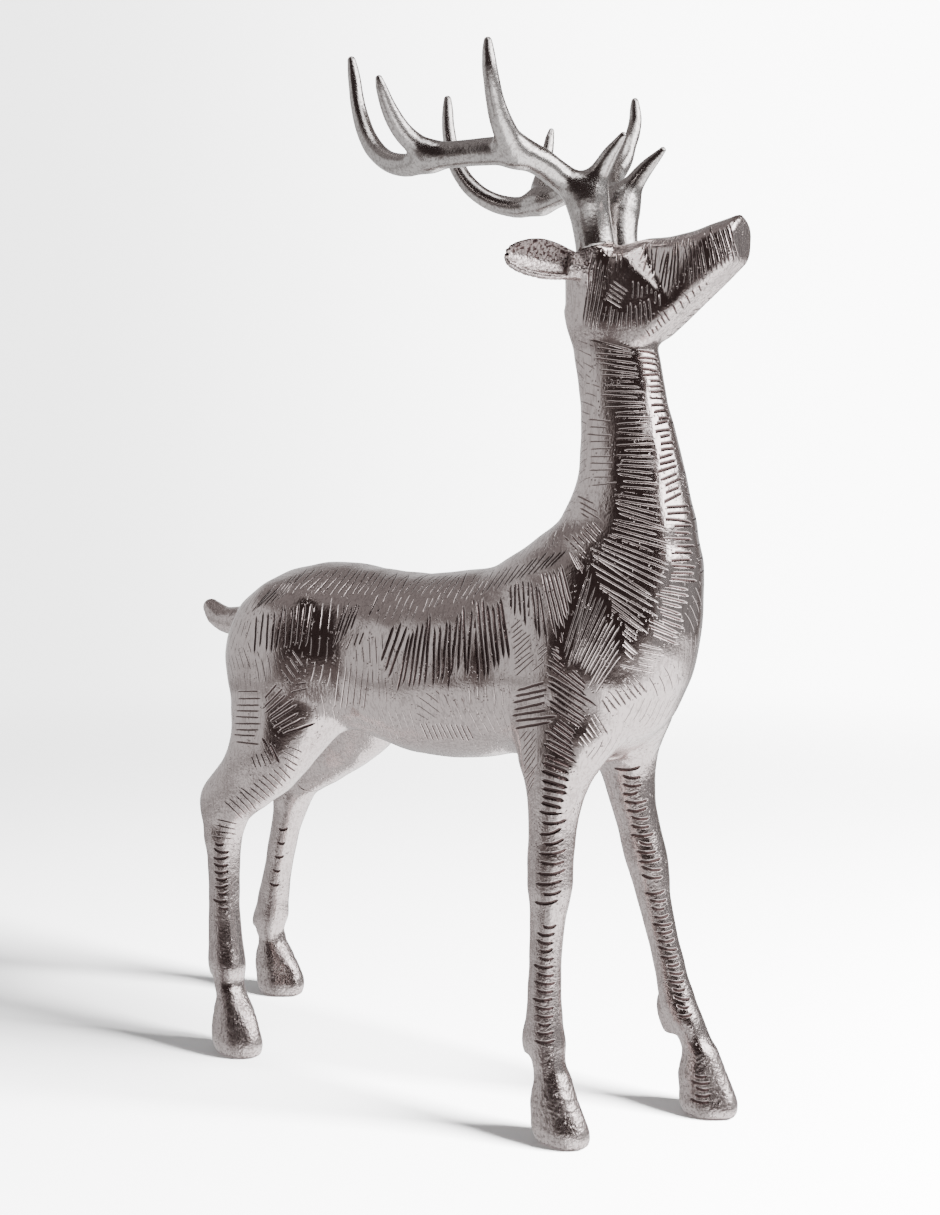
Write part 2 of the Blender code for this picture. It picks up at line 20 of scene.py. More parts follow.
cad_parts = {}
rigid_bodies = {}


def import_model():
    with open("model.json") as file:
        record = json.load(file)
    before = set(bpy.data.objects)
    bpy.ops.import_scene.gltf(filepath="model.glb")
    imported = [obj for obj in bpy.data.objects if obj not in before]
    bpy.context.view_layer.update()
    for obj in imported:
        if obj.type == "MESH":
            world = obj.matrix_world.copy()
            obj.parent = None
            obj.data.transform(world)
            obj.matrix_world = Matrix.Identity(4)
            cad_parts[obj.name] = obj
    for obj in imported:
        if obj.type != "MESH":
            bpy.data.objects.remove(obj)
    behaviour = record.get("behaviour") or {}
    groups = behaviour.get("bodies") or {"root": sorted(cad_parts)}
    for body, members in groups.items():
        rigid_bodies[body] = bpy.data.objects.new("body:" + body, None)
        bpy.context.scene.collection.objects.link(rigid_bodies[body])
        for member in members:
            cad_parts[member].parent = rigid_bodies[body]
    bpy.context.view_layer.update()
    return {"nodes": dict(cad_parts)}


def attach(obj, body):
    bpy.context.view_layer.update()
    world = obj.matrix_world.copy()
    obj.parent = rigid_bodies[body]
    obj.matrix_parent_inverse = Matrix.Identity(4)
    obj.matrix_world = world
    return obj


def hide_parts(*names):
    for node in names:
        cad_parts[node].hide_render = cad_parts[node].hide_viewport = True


Array = np.ndarray
Field = Callable[[Array, Array, Array], Array]
Table = tuple[tuple[float, ...], ...]
Point = tuple[float, float, float]
LOG = logging.getLogger("reindeer")
MM = 0.001
UP = np.array((0.0, 0.0, 1.0))
Value = bpy.types.NodeSocket | float | tuple[float, ...]
STROKES = ("stroke", "second_stroke")  # corner attributes: places beside the two nearest strokes
FRAME_SHIFT = 3.949  # the solids' x is this much less than the x of the tables below, in mm


def eased(low: float, high: float, value: Array) -> Array:
    """A soft step: 3t squared minus 2t cubed.

    Args:
        low: Where the step leaves 0.
        high: Where it reaches 1.
        value: Places to read it at.

    Returns:
        The step's height at each place.
    """
    t = np.clip((value - low) / (high - low), 0.0, 1.0)
    return t * t * (3.0 - 2.0 * t)


def stations_at(table: Table, where: Array) -> Array:
    """The columns of a station table, by a monotone cubic between its rows.

    Args:
        table: Rows of a key and its values, the keys rising.
        where: Keys to read the values at.

    Returns:
        One row of values for each place.
    """
    rows = np.array(table)
    key, columns = rows[:, 0], rows[:, 1:]
    width = np.diff(key)[:, None]
    rise = np.diff(columns, axis=0) / width
    inner = rise[:-1] * rise[1:]
    mean = np.where(inner > 0, 2.0 * inner / (rise[:-1] + rise[1:] + (inner <= 0)), 0.0)
    slope = np.vstack([rise[:1], mean, rise[-1:]])
    at = np.clip(where, key[0], key[-1])
    row = np.clip(np.searchsorted(key, at, side="right") - 1, 0, len(key) - 2)
    span = width[row]
    t = (at - key[row])[..., None] / span
    first = columns[row] * (1 + 2 * t) * (1 - t) ** 2 + slope[row] * span * t * (1 - t) ** 2
    last = columns[row + 1] * t * t * (3 - 2 * t) + slope[row + 1] * span * t * t * (t - 1)
    return first + last


def smooth_union(a: Array, b: Array, blend: float) -> Array:
    """The lower of two fields, rounded by a parabola where they cross.

    Args:
        a: First field.
        b: Second field.
        blend: Width of the rounding.

    Returns:
        The joined field.
    """
    share = np.clip(0.5 + 0.5 * (b - a) / blend, 0.0, 1.0)
    return b + (a - b) * share - blend * share * (1.0 - share)


def smooth_cut(a: Array, b: Array, blend: float) -> Array:
    """The higher of two fields, rounded where they cross: the union of their outsides."""
    return -smooth_union(-a, -b, blend)


def section_field(u: Array, v: Array, half_u: Array, half_v: Array, power: float) -> Array:
    """Distance from a superellipse along the ray from its middle.

    Args:
        u: First coordinate from the middle.
        v: Second coordinate from the middle.
        half_u: Half size along u.
        half_v: Half size along v.
        power: 2 for an ellipse, more for a squarer section.

    Returns:
        Reach of the point less the reach of the outline on the same ray.
    """
    reach = np.hypot(u, v)
    ratio = (np.abs(u / half_u) ** power + np.abs(v / half_v) ** power) ** (1.0 / power)
    ratio = np.maximum(ratio, 1e-3)
    return reach - np.maximum(reach, 1e-3) / ratio


def loft_field(along: Array, u: Array, v: Array, table: Table, power: float = 2.0) -> Array:
    """Distance from a form whose sections across 'along' are read from a table.

    Args:
        along: Coordinate along the form.
        u: First coordinate across it.
        v: Second coordinate across it.
        table: Rows of along, centre u, half u, centre v, half v.
        power: Power of the sections.

    Returns:
        The field, negative inside.
    """
    values, back = np.unique(along.ravel(), return_inverse=True)
    columns = stations_at(table, values)[back].reshape(along.shape + (4,))
    centre_u, half_u, centre_v, half_v = (columns[..., i] for i in range(4))
    side = section_field(u - centre_u, v - centre_v, half_u, half_v, power)
    past = np.maximum(table[0][0] - along, along - table[-1][0])
    outside = np.hypot(np.maximum(side, 0.0), np.maximum(past, 0.0))
    return outside + np.minimum(np.maximum(side, past), 0.0)


def ball_field(x: Array, y: Array, z: Array, centre: Point, size: Point) -> Array:
    """Distance from an ellipsoid, nearly: reach times (reach - 1) over the slope.

    Args:
        x: Places along x.
        y: Places along y.
        z: Places along z.
        centre: Middle of the ellipsoid.
        size: Its half sizes.

    Returns:
        The field, negative inside.
    """
    scaled = [(q - c) / s for q, c, s in zip((x, y, z), centre, size)]
    reach = np.sqrt(sum(p * p for p in scaled))
    steepness = np.sqrt(sum((p / s) ** 2 for p, s in zip(scaled, size)))
    return reach * (reach - 1.0) / np.maximum(steepness, 1e-6)


def branch_field(x: Array, y: Array, z: Array, table: Table, samples: int = 26) -> Array:
    """Distance from a tapering round branch: the least over the pieces of its middle line.

    Args:
        x: Places along x.
        y: Places along y.
        z: Places along z.
        table: Rows of x, y, z and radius.
        samples: Points that the middle line is read at.

    Returns:
        The field, negative inside.
    """
    rows = np.array(table)
    steps = np.linalg.norm(np.diff(rows[:, :3], axis=0), axis=1)
    key = np.concatenate([[0.0], np.cumsum(steps)])
    line = stations_at(np.column_stack([key, rows]), np.linspace(0.0, key[-1], samples))
    best = np.full(x.shape, np.inf)
    for start, end in zip(line[:-1], line[1:]):
        way = end[:3] - start[:3]
        from_start = (x - start[0], y - start[1], z - start[2])
        along = sum(p * d for p, d in zip(from_start, way)) / (way @ way)
        along = np.clip(along, 0.0, 1.0)
        gap = np.sqrt(sum((p - d * along) ** 2 for p, d in zip(from_start, way)))
        best = np.minimum(best, gap - (start[3] + (end[3] - start[3]) * along))
    return best


@dataclass(frozen=True)
class Crown:
    """The tilted flat on the head that both antlers stand on."""

    x: float = 103.0
    z: float = 423.0
    tilt: float = math.radians(13.0)
    gap: float = 0.3
    seat_radius: float = 10.6
    stem_y: float = 11.2

    def height(self, x: Array, z: Array) -> Array:
        """Height above the flat: the drop along its normal."""
        return (z - self.z) * math.cos(self.tilt) - (x - self.x) * math.sin(self.tilt)


@dataclass(frozen=True)
class Plane:
    """A plane that runs across the deer, by a point (x, z) and its normal's slope in degrees."""

    x: float
    z: float
    turn: float

    def height(self, x: Array, z: Array) -> Array:
        """Signed height above the plane: the offset from its point along its normal."""
        turn = math.radians(self.turn)
        return (x - self.x) * math.cos(turn) + (z - self.z) * math.sin(turn)


@dataclass(frozen=True)
class Head:
    """The wedge-shaped head: a ridge line, sloping sides and planes, with two pedicles."""

    ridge: Table = (
        (84.0, 425.0), (104.0, 428.0), (120.0, 428.6), (134.0, 428.8),
        (147.0, 430.2), (159.0, 433.0), (172.0, 436.0),
    )
    under: Plane = Plane(148.2, 396.4, -52.0)
    jaw: Plane = Plane(114.0, 381.0, -91.0)
    nape: Plane = Plane(84.0, 396.0, 206.0)
    nose: Plane = Plane(172.3, 430.0, 0.5)
    rear: Point = (105.0, 22.5, 17.6)  # x, depth and half width of the round back
    side_x: float = 118.0
    side_half: float = 17.4
    side_taper: float = math.radians(8.6)
    side_fall: float = math.radians(4.0)
    side_z: float = 405.0
    roof_fall: float = math.radians(33.0)
    roof_lift: float = 1.2
    bevel_turn: float = math.radians(30.0)
    bevel_rise: float = 6.0
    boss_radius: float = 9.7
    boss_taper: float = 0.28
    facet: float = 3.2
    bevel_round: float = 1.8
    brow_round: float = 1.5
    seat_round: float = 0.6
    blend: float = 5.0
    brow: Point = (139.0, 12.6, 402.0)  # lowest point of the brow's step
    brow_flanks: tuple[Point, Point] = ((0.583, 0.654, 0.481), (-0.148, 0.983, 0.109))
    crown: Crown = Crown()

    def field(self, x: Array, y: Array, z: Array) -> Array:
        """The common part of the head's planes, rounded where they meet.

        Args:
            x: Places along x.
            y: Places along y.
            z: Places along z.

        Returns:
            The field, negative inside.
        """
        side = np.abs(y)
        cheek = (side - self.side_half) * math.cos(self.side_taper)
        cheek = cheek + (x - self.side_x) * math.sin(self.side_taper)
        cheek = cheek - (z - self.side_z) * math.sin(self.side_fall)
        ridge = z - stations_at(self.ridge, x)[..., 0]
        roof = (ridge - self.roof_lift) * math.cos(self.roof_fall) + side * math.sin(self.roof_fall)
        head = smooth_cut(ridge, roof, self.facet)
        rear_x, rear_deep, rear_half = self.rear
        rear = section_field(np.minimum(x - rear_x, 0.0), side, rear_deep, rear_half, 2.0)
        wall = smooth_cut(cheek, rear, self.facet)
        head = smooth_cut(head, wall, self.facet)
        for plane in (self.under, self.nape, self.nose, self.jaw):
            head = smooth_cut(head, plane.height(x, z), self.facet)
        bevel = (self.jaw.height(x, z) + self.bevel_rise) * math.sin(self.bevel_turn)
        bevel = bevel + wall * math.cos(self.bevel_turn)
        head = smooth_cut(head, bevel, self.bevel_round)
        from_brow = (x - self.brow[0], side - self.brow[1], z - self.brow[2])
        step = [sum(p * d for p, d in zip(from_brow, out)) for out in self.brow_flanks]
        head = smooth_cut(head, np.minimum(*step), self.brow_round)
        depth = -self.crown.height(x, z)
        boss = np.hypot(x - self.crown.x, side - self.crown.stem_y) - self.boss_radius
        head = smooth_union(head, boss + self.boss_taper * depth, self.blend)
        return smooth_cut(head, -depth, self.seat_round)


@dataclass(frozen=True)
class Ear:
    """A leaf-shaped ear with a rim and a hollow that opens forward and outward."""

    root: Point = (101.5, 15.5, 413.8)
    reach: Point = (-29.0, 28.5, 7.8)
    outline: Table = (
        (0.0, 0.0, 5.3, 0.0, 4.8), (4.7, 0.2, 5.9, 0.0, 4.6), (10.2, 0.6, 7.2, 0.0, 4.4),
        (16.7, 0.9, 8.6, 0.0, 4.4), (23.2, 0.8, 9.2, 0.0, 4.2), (28.8, 0.3, 8.5, 0.0, 3.8),
        (33.9, -0.3, 6.8, 0.0, 3.0), (37.7, -0.8, 4.7, 0.0, 2.2), (39.6, -1.0, 2.3, 0.0, 1.4),
    )
    rim: float = 1.9
    rim_depth: float = 0.4
    opening: float = 5.0
    crease_up: float = 0.6
    crease_depth: float = 0.6
    crease_fall: float = 0.07
    crease_rise: float = 0.36
    hollow_start: float = 7.5
    crease_share: float = 0.8
    crease_round: float = 0.8
    rim_round: float = 0.9

    def frame(self) -> tuple[Array, Array, Array]:
        """Unit vectors along the ear, up across it, and out of its hollow."""
        reach = np.array(self.reach) / np.linalg.norm(self.reach)
        face = np.array((reach[1], -reach[0], 0.0))
        face /= np.linalg.norm(face)
        lift = np.cross(face, reach)
        return reach, lift * np.sign(lift[2]), face

    def place(self, x: Array, y: Array, z: Array) -> list[Array]:
        """Coordinates along, up and out from the ear's root."""
        from_root = (x - self.root[0], y - self.root[1], z - self.root[2])
        return [sum(p * d for p, d in zip(from_root, way)) for way in self.frame()]

    def field(self, x: Array, y: Array, z: Array) -> Array:
        """The leaf, a loft of ellipses, less a hollow inside its rim that falls to a crease.

        Args:
            x: Places along x.
            y: Places along y, on the ear's own side.
            z: Places along z.

        Returns:
            The field, negative inside.
        """
        along, up, out = self.place(x, y, z)
        hollow = tuple(
            (at, middle, max(half - self.rim, self.rim_depth), centre + self.opening,
             deep + self.opening)
            for at, middle, half, centre, deep in self.outline
            if at >= self.hollow_start
        )
        leaf = loft_field(along, up, out, self.outline)
        deep = self.crease_depth + self.crease_fall * (self.outline[-1][0] - along)
        crease = out + deep - self.crease_rise * np.abs(up - self.crease_up)
        valley = loft_field(along, up, out, hollow)
        valley = smooth_cut(valley, -self.crease_share * crease, self.crease_round)
        return smooth_cut(leaf, -valley, self.rim_round)


@dataclass(frozen=True)
class Leg:
    """A right leg's stations, and how its left twin leans away from it."""

    stations: Table
    lean_top: float
    stride: float
    claws: tuple[Point, Point]  # right and left dewclaw: x, height, height of its ledge
    foot: float = 32.0
    claw_size: Point = (6.6, 6.6, 13.0)
    ledge_round: float = 1.0
    claw_blend: float = 1.6
    power: float = 2.3
    facet_turn: float = math.radians(54.0)
    facet_out: float = 3.5
    facet_round: float = 2.2
    ridge: tuple[float, float] = (0.2, 1.2)  # how far behind the front and beside the middle
    groove: tuple[float, float] = (0.3, 21.5)  # depth and height of the coronet's groove

    def lean(self, z: Array, left: bool) -> Array:
        """How far forward the leg is at a height: nothing on the right, linear on the left."""
        slope = np.clip((self.lean_top - z) / (self.lean_top - self.foot), 0.0, 1.0)
        return self.stride * slope * left

    def hoof_facets(self, x: Array, y: Array, z: Array) -> Array:
        """Two upright planes that meet in a ridge down the front of the hoof.

        Args:
            x: Places along x, straightened.
            y: Distance from the middle on the leg's own side.
            z: Places along z.

        Returns:
            The field, negative behind both planes; far above the hoof it is never the highest.
        """
        rows = np.array(self.stations)
        front = np.interp(z, rows[:, 0], rows[:, 1] + rows[:, 2])
        middle = np.interp(z, rows[:, 0], rows[:, 3])
        side = np.abs(y - middle - self.ridge[1]) * math.sin(self.facet_turn)
        ridge = (x - front + self.ridge[0]) * math.cos(self.facet_turn) + side
        return ridge - self.facet_out - 1.0 * eased(12.0, 30.0, z) - 7.0 * eased(25.0, 46.0, z)

    def hoof_rings(self, z: Array) -> Array:
        """What the coronet's groove and the rounded sole add to the field: functions of height."""
        depth, middle = self.groove
        groove = depth * np.exp(-((z - middle) ** 2))
        return (groove + 1.2 * eased(7.0, -1.0, z) + 1.6 * eased(2.0, -0.4, z)
                - 0.3 * eased(12.0, 7.0, z))

    def field(self, x: Array, y: Array, z: Array, left: bool) -> Array:
        """The leg with its dewclaw.

        Args:
            x: Places along x.
            y: Distance from the middle on the leg's own side.
            z: Places along z.
            left: Whether this is the left leg.

        Returns:
            The field, negative inside.
        """
        x = x - self.lean(z, left)
        leg = loft_field(z, x, y, self.stations, self.power)
        leg = smooth_cut(leg, self.hoof_facets(x, y, z), self.facet_round) + self.hoof_rings(z)
        claw_x, claw_z, ledge = self.claws[int(left)]
        claw_y = np.interp(claw_z, [r[0] for r in self.stations], [r[3] for r in self.stations])
        claw = ball_field(x, y, z, (claw_x, claw_y, claw_z), self.claw_size)
        return smooth_union(leg, smooth_cut(claw, ledge - z, self.ledge_round), self.claw_blend)


FRONT_LEG = Leg(
    stations=(
        (0.0, 102.6, 14.0, 34.4, 9.9), (4.0, 102.2, 14.8, 34.6, 10.7),
        (10.0, 101.2, 14.4, 35.0, 10.9), (19.7, 98.6, 12.4, 35.0, 10.3),
        (29.5, 97.2, 9.2, 35.0, 8.5), (36.4, 95.2, 8.0, 35.0, 7.8),
        (47.8, 92.4, 9.4, 34.0, 8.6), (57.5, 91.4, 9.0, 34.0, 8.1),
        (67.6, 91.4, 8.1, 34.0, 7.5), (87.0, 91.7, 7.7, 33.5, 7.3),
        (107.0, 92.5, 8.6, 33.0, 8.1), (117.0, 93.3, 9.8, 33.0, 9.0),
        (126.7, 93.7, 11.0, 33.0, 10.0), (136.5, 93.9, 10.9, 33.0, 10.0),
        (146.3, 94.2, 11.0, 32.5, 10.4), (155.8, 94.7, 11.8, 32.0, 11.1),
        (165.5, 95.6, 13.2, 32.0, 12.2), (175.3, 96.3, 16.2, 31.5, 13.6),
        (185.0, 96.6, 20.5, 30.5, 14.8), (199.0, 98.0, 23.5, 28.0, 14.5),
        (213.0, 99.0, 21.0, 24.0, 11.5), (226.0, 99.0, 11.0, 20.0, 5.0),
    ),
    lean_top=182.0,
    stride=44.0,
    claws=((86.6, 48.0, 40.5), (84.8, 45.5, 38.0)),
)
HIND_LEG = Leg(
    stations=(
        (0.0, -101.6, 14.4, 41.6, 10.4), (4.0, -101.9, 15.4, 41.8, 11.1),
        (10.0, -102.6, 15.8, 42.0, 11.2), (22.4, -105.6, 12.6, 41.0, 9.9),
        (33.3, -108.4, 7.9, 41.0, 7.9), (38.5, -110.6, 8.3, 40.0, 8.0),
        (49.0, -112.0, 10.4, 39.5, 8.6), (60.0, -113.7, 9.8, 39.0, 8.0),
        (82.5, -115.3, 8.7, 38.0, 7.5), (105.0, -116.1, 9.2, 37.0, 8.0),
        (116.2, -116.2, 10.5, 37.0, 8.9), (127.4, -115.6, 13.4, 36.0, 10.0),
        (139.8, -108.2, 22.8, 36.0, 11.4), (152.3, -96.0, 27.6, 35.0, 13.2),
        (164.7, -84.4, 27.8, 35.0, 15.2), (176.1, -79.0, 28.6, 33.5, 16.6),
        (190.0, -77.0, 31.0, 30.0, 16.5), (205.0, -76.0, 28.0, 26.0, 12.5),
        (220.0, -76.0, 16.0, 20.0, 5.0),
    ),
    lean_top=166.0,
    stride=-44.0,
    claws=((-118.0, 48.0, 40.5), (-118.0, 48.0, 40.5)),
)


class Skin:
    """A fine mesh of a field's zero level, as arrays of points and quads in millimetres."""

    CORNERS = np.array([(i, j, k) for i in (0, 1) for j in (0, 1) for k in (0, 1)])
    BLOCK = 4  # lattice steps along a block
    NEAR = (0.9, 3.5)  # how near the skin a block counts: share of its size, and mm more
    PART = 400000  # points worked out at a time
    WAVES = 14

    def __init__(self, form: Field, low: Point, high: Point, step: float) -> None:
        """Meshes the field and pulls the points onto its zero level.

        Args:
            form: The field.
            low: Lowest corner of the lattice.
            high: Highest corner.
            step: Spacing of the lattice.
        """
        self.form, self.step, self.origin = form, step, np.array(low)
        blocks = np.ceil((np.array(high) - self.origin) / (step * self.BLOCK)).astype(int)
        values = self._lattice(blocks)
        self.points, self.quads = self._net(values)
        for _ in range(2):
            self._relax()
            self._settle()
        self.refresh()

    def _at(self, where: Array) -> Array:
        """The field at an N by 3 array of points, worked out in parts to spare memory."""
        parts = np.array_split(where, max(1, len(where) // self.PART))
        return np.concatenate([self.form(p[:, 0], p[:, 1], p[:, 2]) for p in parts])

    def _lattice(self, blocks: Array) -> Array:
        """The field on the lattice, worked out only in the blocks near its zero level.

        Args:
            blocks: Number of blocks along each axis.

        Returns:
            Values at the lattice points; far from the skin only their sign is right.
        """
        size = self.BLOCK
        coarse = np.stack(np.meshgrid(*[np.arange(n + 1) for n in blocks], indexing="ij"), -1)
        rough = self._at(self.origin + self.step * size * coarse.reshape(-1, 3))
        rough = rough.reshape(coarse.shape[:3])
        close = np.abs(rough) < self.step * size * self.NEAR[0] + self.NEAR[1]
        near = np.zeros(blocks, bool)
        for i, j, k in self.CORNERS:
            near |= close[i : i + blocks[0], j : j + blocks[1], k : k + blocks[2]]
        fine = near.repeat(size, 0).repeat(size, 1).repeat(size, 2)
        need = np.zeros(blocks * size + 1, bool)
        for i, j, k in self.CORNERS:
            need[i : i + fine.shape[0], j : j + fine.shape[1], k : k + fine.shape[2]] |= fine
        sign = np.where(rough < 0, -1.0, 1.0).repeat(size, 0).repeat(size, 1).repeat(size, 2)
        values = sign[: need.shape[0], : need.shape[1], : need.shape[2]].copy()
        values[need] = self._at(self.origin + self.step * np.argwhere(need))
        return values

    def _net(self, values: Array) -> tuple[Array, Array]:
        """One vertex in each cell that the zero level passes through, the mean of its crossings.

        Args:
            values: The field on the lattice.

        Returns:
            Points and quads, facing out.
        """
        inside = values < 0.0
        shape = np.array(values.shape) - 1
        count = np.zeros(shape, np.int8)
        for i, j, k in self.CORNERS:
            count += inside[i : i + shape[0], j : j + shape[1], k : k + shape[2]]
        cells = np.argwhere((count > 0) & (count < 8))
        number = np.full(shape, -1, np.int64)
        number[tuple(cells.T)] = np.arange(len(cells))
        total, hits = np.zeros((len(cells), 3)), np.zeros((len(cells), 1))
        for corner in self.CORNERS:
            for axis in range(3):
                if corner[axis]:
                    continue
                way = np.eye(3, dtype=int)[axis]
                first = values[tuple((cells + corner).T)]
                second = values[tuple((cells + corner + way).T)]
                cross = (first < 0.0) != (second < 0.0)
                t = np.where(cross, first / np.where(cross, first - second, 1.0), 0.0)
                total += cross[:, None] * (corner + t[:, None] * way)
                hits += cross[:, None]
        quads = []
        for axis in range(3):
            low, high = [slice(None)] * 3, [slice(None)] * 3
            low[axis], high[axis] = slice(0, -1), slice(1, None)
            edges = np.argwhere(inside[tuple(low)] != inside[tuple(high)])
            u, v = np.eye(3, dtype=int)[(axis + 1) % 3], np.eye(3, dtype=int)[(axis + 2) % 3]
            ring = [number[tuple((edges - s).T)] for s in (u + v, v, 0 * u, u)]
            ring = np.column_stack(ring)
            out = inside[tuple(low)][tuple(edges.T)]
            quads.append(np.where(out[:, None], ring, ring[:, ::-1]))
        return self.origin + self.step * (cells + total / hits), np.concatenate(quads)

    def _relax(self) -> None:
        """Moves each point half way to the mean of its neighbours along the edges."""
        ends = np.concatenate([self.quads, np.roll(self.quads, 1, axis=1)]).ravel()
        other = np.concatenate([np.roll(self.quads, -1, axis=1), self.quads]).ravel()
        count = np.bincount(ends, minlength=len(self.points))[:, None]
        total = [np.bincount(ends, self.points[other, i], len(self.points)) for i in range(3)]
        self.points = 0.5 * self.points + 0.5 * np.stack(total, -1) / count

    def _settle(self) -> None:
        """Pulls the points onto the zero level: one step of value over slope, along the slope."""
        reach = 0.05
        value = self._at(self.points)
        slope = np.stack(
            [(self._at(self.points + reach * way) - value) / reach for way in np.eye(3)], -1
        )
        steep = np.maximum((slope**2).sum(1, keepdims=True), 0.2)
        move = value[:, None] * slope / steep
        self.points -= np.clip(move, -self.step, self.step)

    def refresh(self) -> None:
        """Works out the middles and normals of the faces, and the normals of the points."""
        corner = self.points[self.quads]
        cross = np.cross(corner[:, 2] - corner[:, 0], corner[:, 3] - corner[:, 1])
        length = np.maximum(np.linalg.norm(cross, axis=1, keepdims=True), 1e-9)
        self.middles, self.faces_out = corner.mean(1), cross / length
        total = [
            sum(np.bincount(self.quads[:, c], cross[:, i], len(self.points)) for c in range(4))
            for i in range(3)
        ]
        total = np.stack(total, -1)
        self.out = total / np.maximum(np.linalg.norm(total, axis=1, keepdims=True), 1e-9)

    def dent(self, centre: Point, size: Point, depth: float) -> None:
        """Presses a soft hollow into the skin, mirrored on both sides: a bell of the distance.

        Args:
            centre: Middle of the hollow, its y on both sides.
            size: Breadth of the bell along each axis.
            depth: Its depth, in mm.
        """
        spots = np.abs(self.points * (0.0, 1.0, 0.0)) + self.points * (1.0, 0.0, 1.0)
        bell = np.exp(-((((spots - centre) / size) ** 2).sum(1)))
        self.points -= self.out * (depth * bell)[:, None]

    def undulate(self, depth: float, length: float, seed: int) -> None:
        """Moves the skin in and out a little, as a hand-finished casting does.

        The height is the mean of sine waves in evenly spread directions with random phases.

        Args:
            depth: Greatest height, in mm.
            length: Wavelength, in mm.
            seed: Seed of the phases.
        """
        dice = np.random.default_rng(seed)
        ways = dice.normal(size=(self.WAVES, 3))
        ways /= np.linalg.norm(ways, axis=1, keepdims=True)
        turns = ways * (2 * math.pi / (length * dice.uniform(0.7, 1.5, size=(self.WAVES, 1))))
        wave = np.sin(self.points @ turns.T + dice.uniform(0, 2 * math.pi, self.WAVES)).mean(1)
        self.points += self.out * (depth * 2.0 * wave)[:, None]


@dataclass(frozen=True)
class Sight:
    """Rays from the camera's place through the points of its picture, 940 wide, 1215 high."""

    eye: Point = (456.15, -626.6, 326.4)
    turn: float = math.radians(34.56)
    dip: float = math.radians(5.67)
    focal: float = 1490.0
    middle: tuple[float, float] = (470.0, 607.5)

    def axes(self) -> tuple[Array, Array, Array]:
        """Unit vectors to the picture's right, ahead and up."""
        right = np.array((math.cos(self.turn), math.sin(self.turn), 0.0))
        ahead = np.array((-math.sin(self.turn) * math.cos(self.dip),
                          math.cos(self.turn) * math.cos(self.dip), -math.sin(self.dip)))
        return right, ahead, np.cross(right, ahead)

    def ray(self, a: float, b: float, mirrored: bool) -> tuple[Vector, Vector]:
        """The ray through a point of the picture.

        Args:
            a: Place across, to the right.
            b: Place down.
            mirrored: Whether the standpoint is on the deer's other side.

        Returns:
            The ray's start and direction, in mm.
        """
        right, ahead, up = self.axes()
        way = self.focal * ahead + (a - self.middle[0]) * right + (self.middle[1] - b) * up
        flip = np.array((1.0, -1.0 if mirrored else 1.0, 1.0))
        return Vector(np.array(self.eye) * flip), Vector(way * flip).normalized()


@dataclass(frozen=True)
class Row:
    """A row of chased strokes on the picture of a Sight, in its points."""

    start: tuple[float, float]
    end: tuple[float, float]
    length: tuple[float, float]  # at the row's two ends
    slope: tuple[float, float]  # degrees, rising to the right, at the row's two ends
    pitch: float = 8.0
    wide: float = 1.0


HAUNCH_ROWS: tuple[Row, ...] = (
    Row((298, 659), (286, 677), (20, 18), (-56, -52), 6.5),
    Row((300, 677), (302, 690), (16, 18), (4, 14), 6.0),
    Row((256, 632), (308, 626), (38, 46), (86, 82), 5.6, 1.5),
    Row((247, 692), (246, 742), (25, 25), (2, -4), 6.6, 1.2),
    Row((268, 694), (296, 729), (30, 34), (50, 22), 6.2, 1.5),
    Row((254, 762), (268, 757), (13, 18), (-70, -64), 4.5),
    Row((268, 748), (274, 752), (24, 24), (-62, -62), 6.0, 1.7),
    Row((293, 749), (290, 768), (20, 18), (-22, -32), 6.0, 1.0),
    Row((284, 772), (236, 812), (20, 26), (-42, -38), 5.5, 1.1),
    Row((228, 822), (222, 838), (22, 20), (-14, -8), 6.0, 1.0),
)
BACK_ROWS: tuple[Row, ...] = (
    Row((262, 600), (300, 578), (34, 34), (48, 46), 6.0, 1.1),
    Row((306, 578), (350, 580), (30, 30), (42, 46), 7.0, 1.2),
    Row((356, 580), (482, 585), (28, 30), (48, 58), 6.4, 1.1),
    Row((488, 582), (560, 558), (28, 26), (58, 46), 6.4, 1.1),
    Row((428, 600), (446, 594), (22, 24), (66, 62), 7.0),
)
FLANK_ROWS: tuple[Row, ...] = (
    Row((339, 626), (356, 616), (44, 30), (75, 70), 5.5, 1.3),
    Row((374, 606), (381, 606), (24, 24), (66, 66), 6.0, 1.3),
    Row((345, 640), (362, 640), (18, 16), (68, 70), 5.0, 1.1),
    Row((338, 684), (366, 690), (50, 36), (86, 84), 5.5, 0.9),
    Row((388, 644), (398, 652), (40, 60), (72, 72), 5.4, 1.8),
    Row((404, 660), (428, 652), (60, 76), (78, 86), 5.6, 1.7),
    Row((434, 658), (470, 640), (58, 70), (88, 88), 5.6, 1.7),
    Row((476, 640), (506, 630), (86, 66), (92, 98), 5.6, 1.8),
    Row((424, 731), (470, 733), (20, 18), (-66, -64), 5.2, 1.1),
)
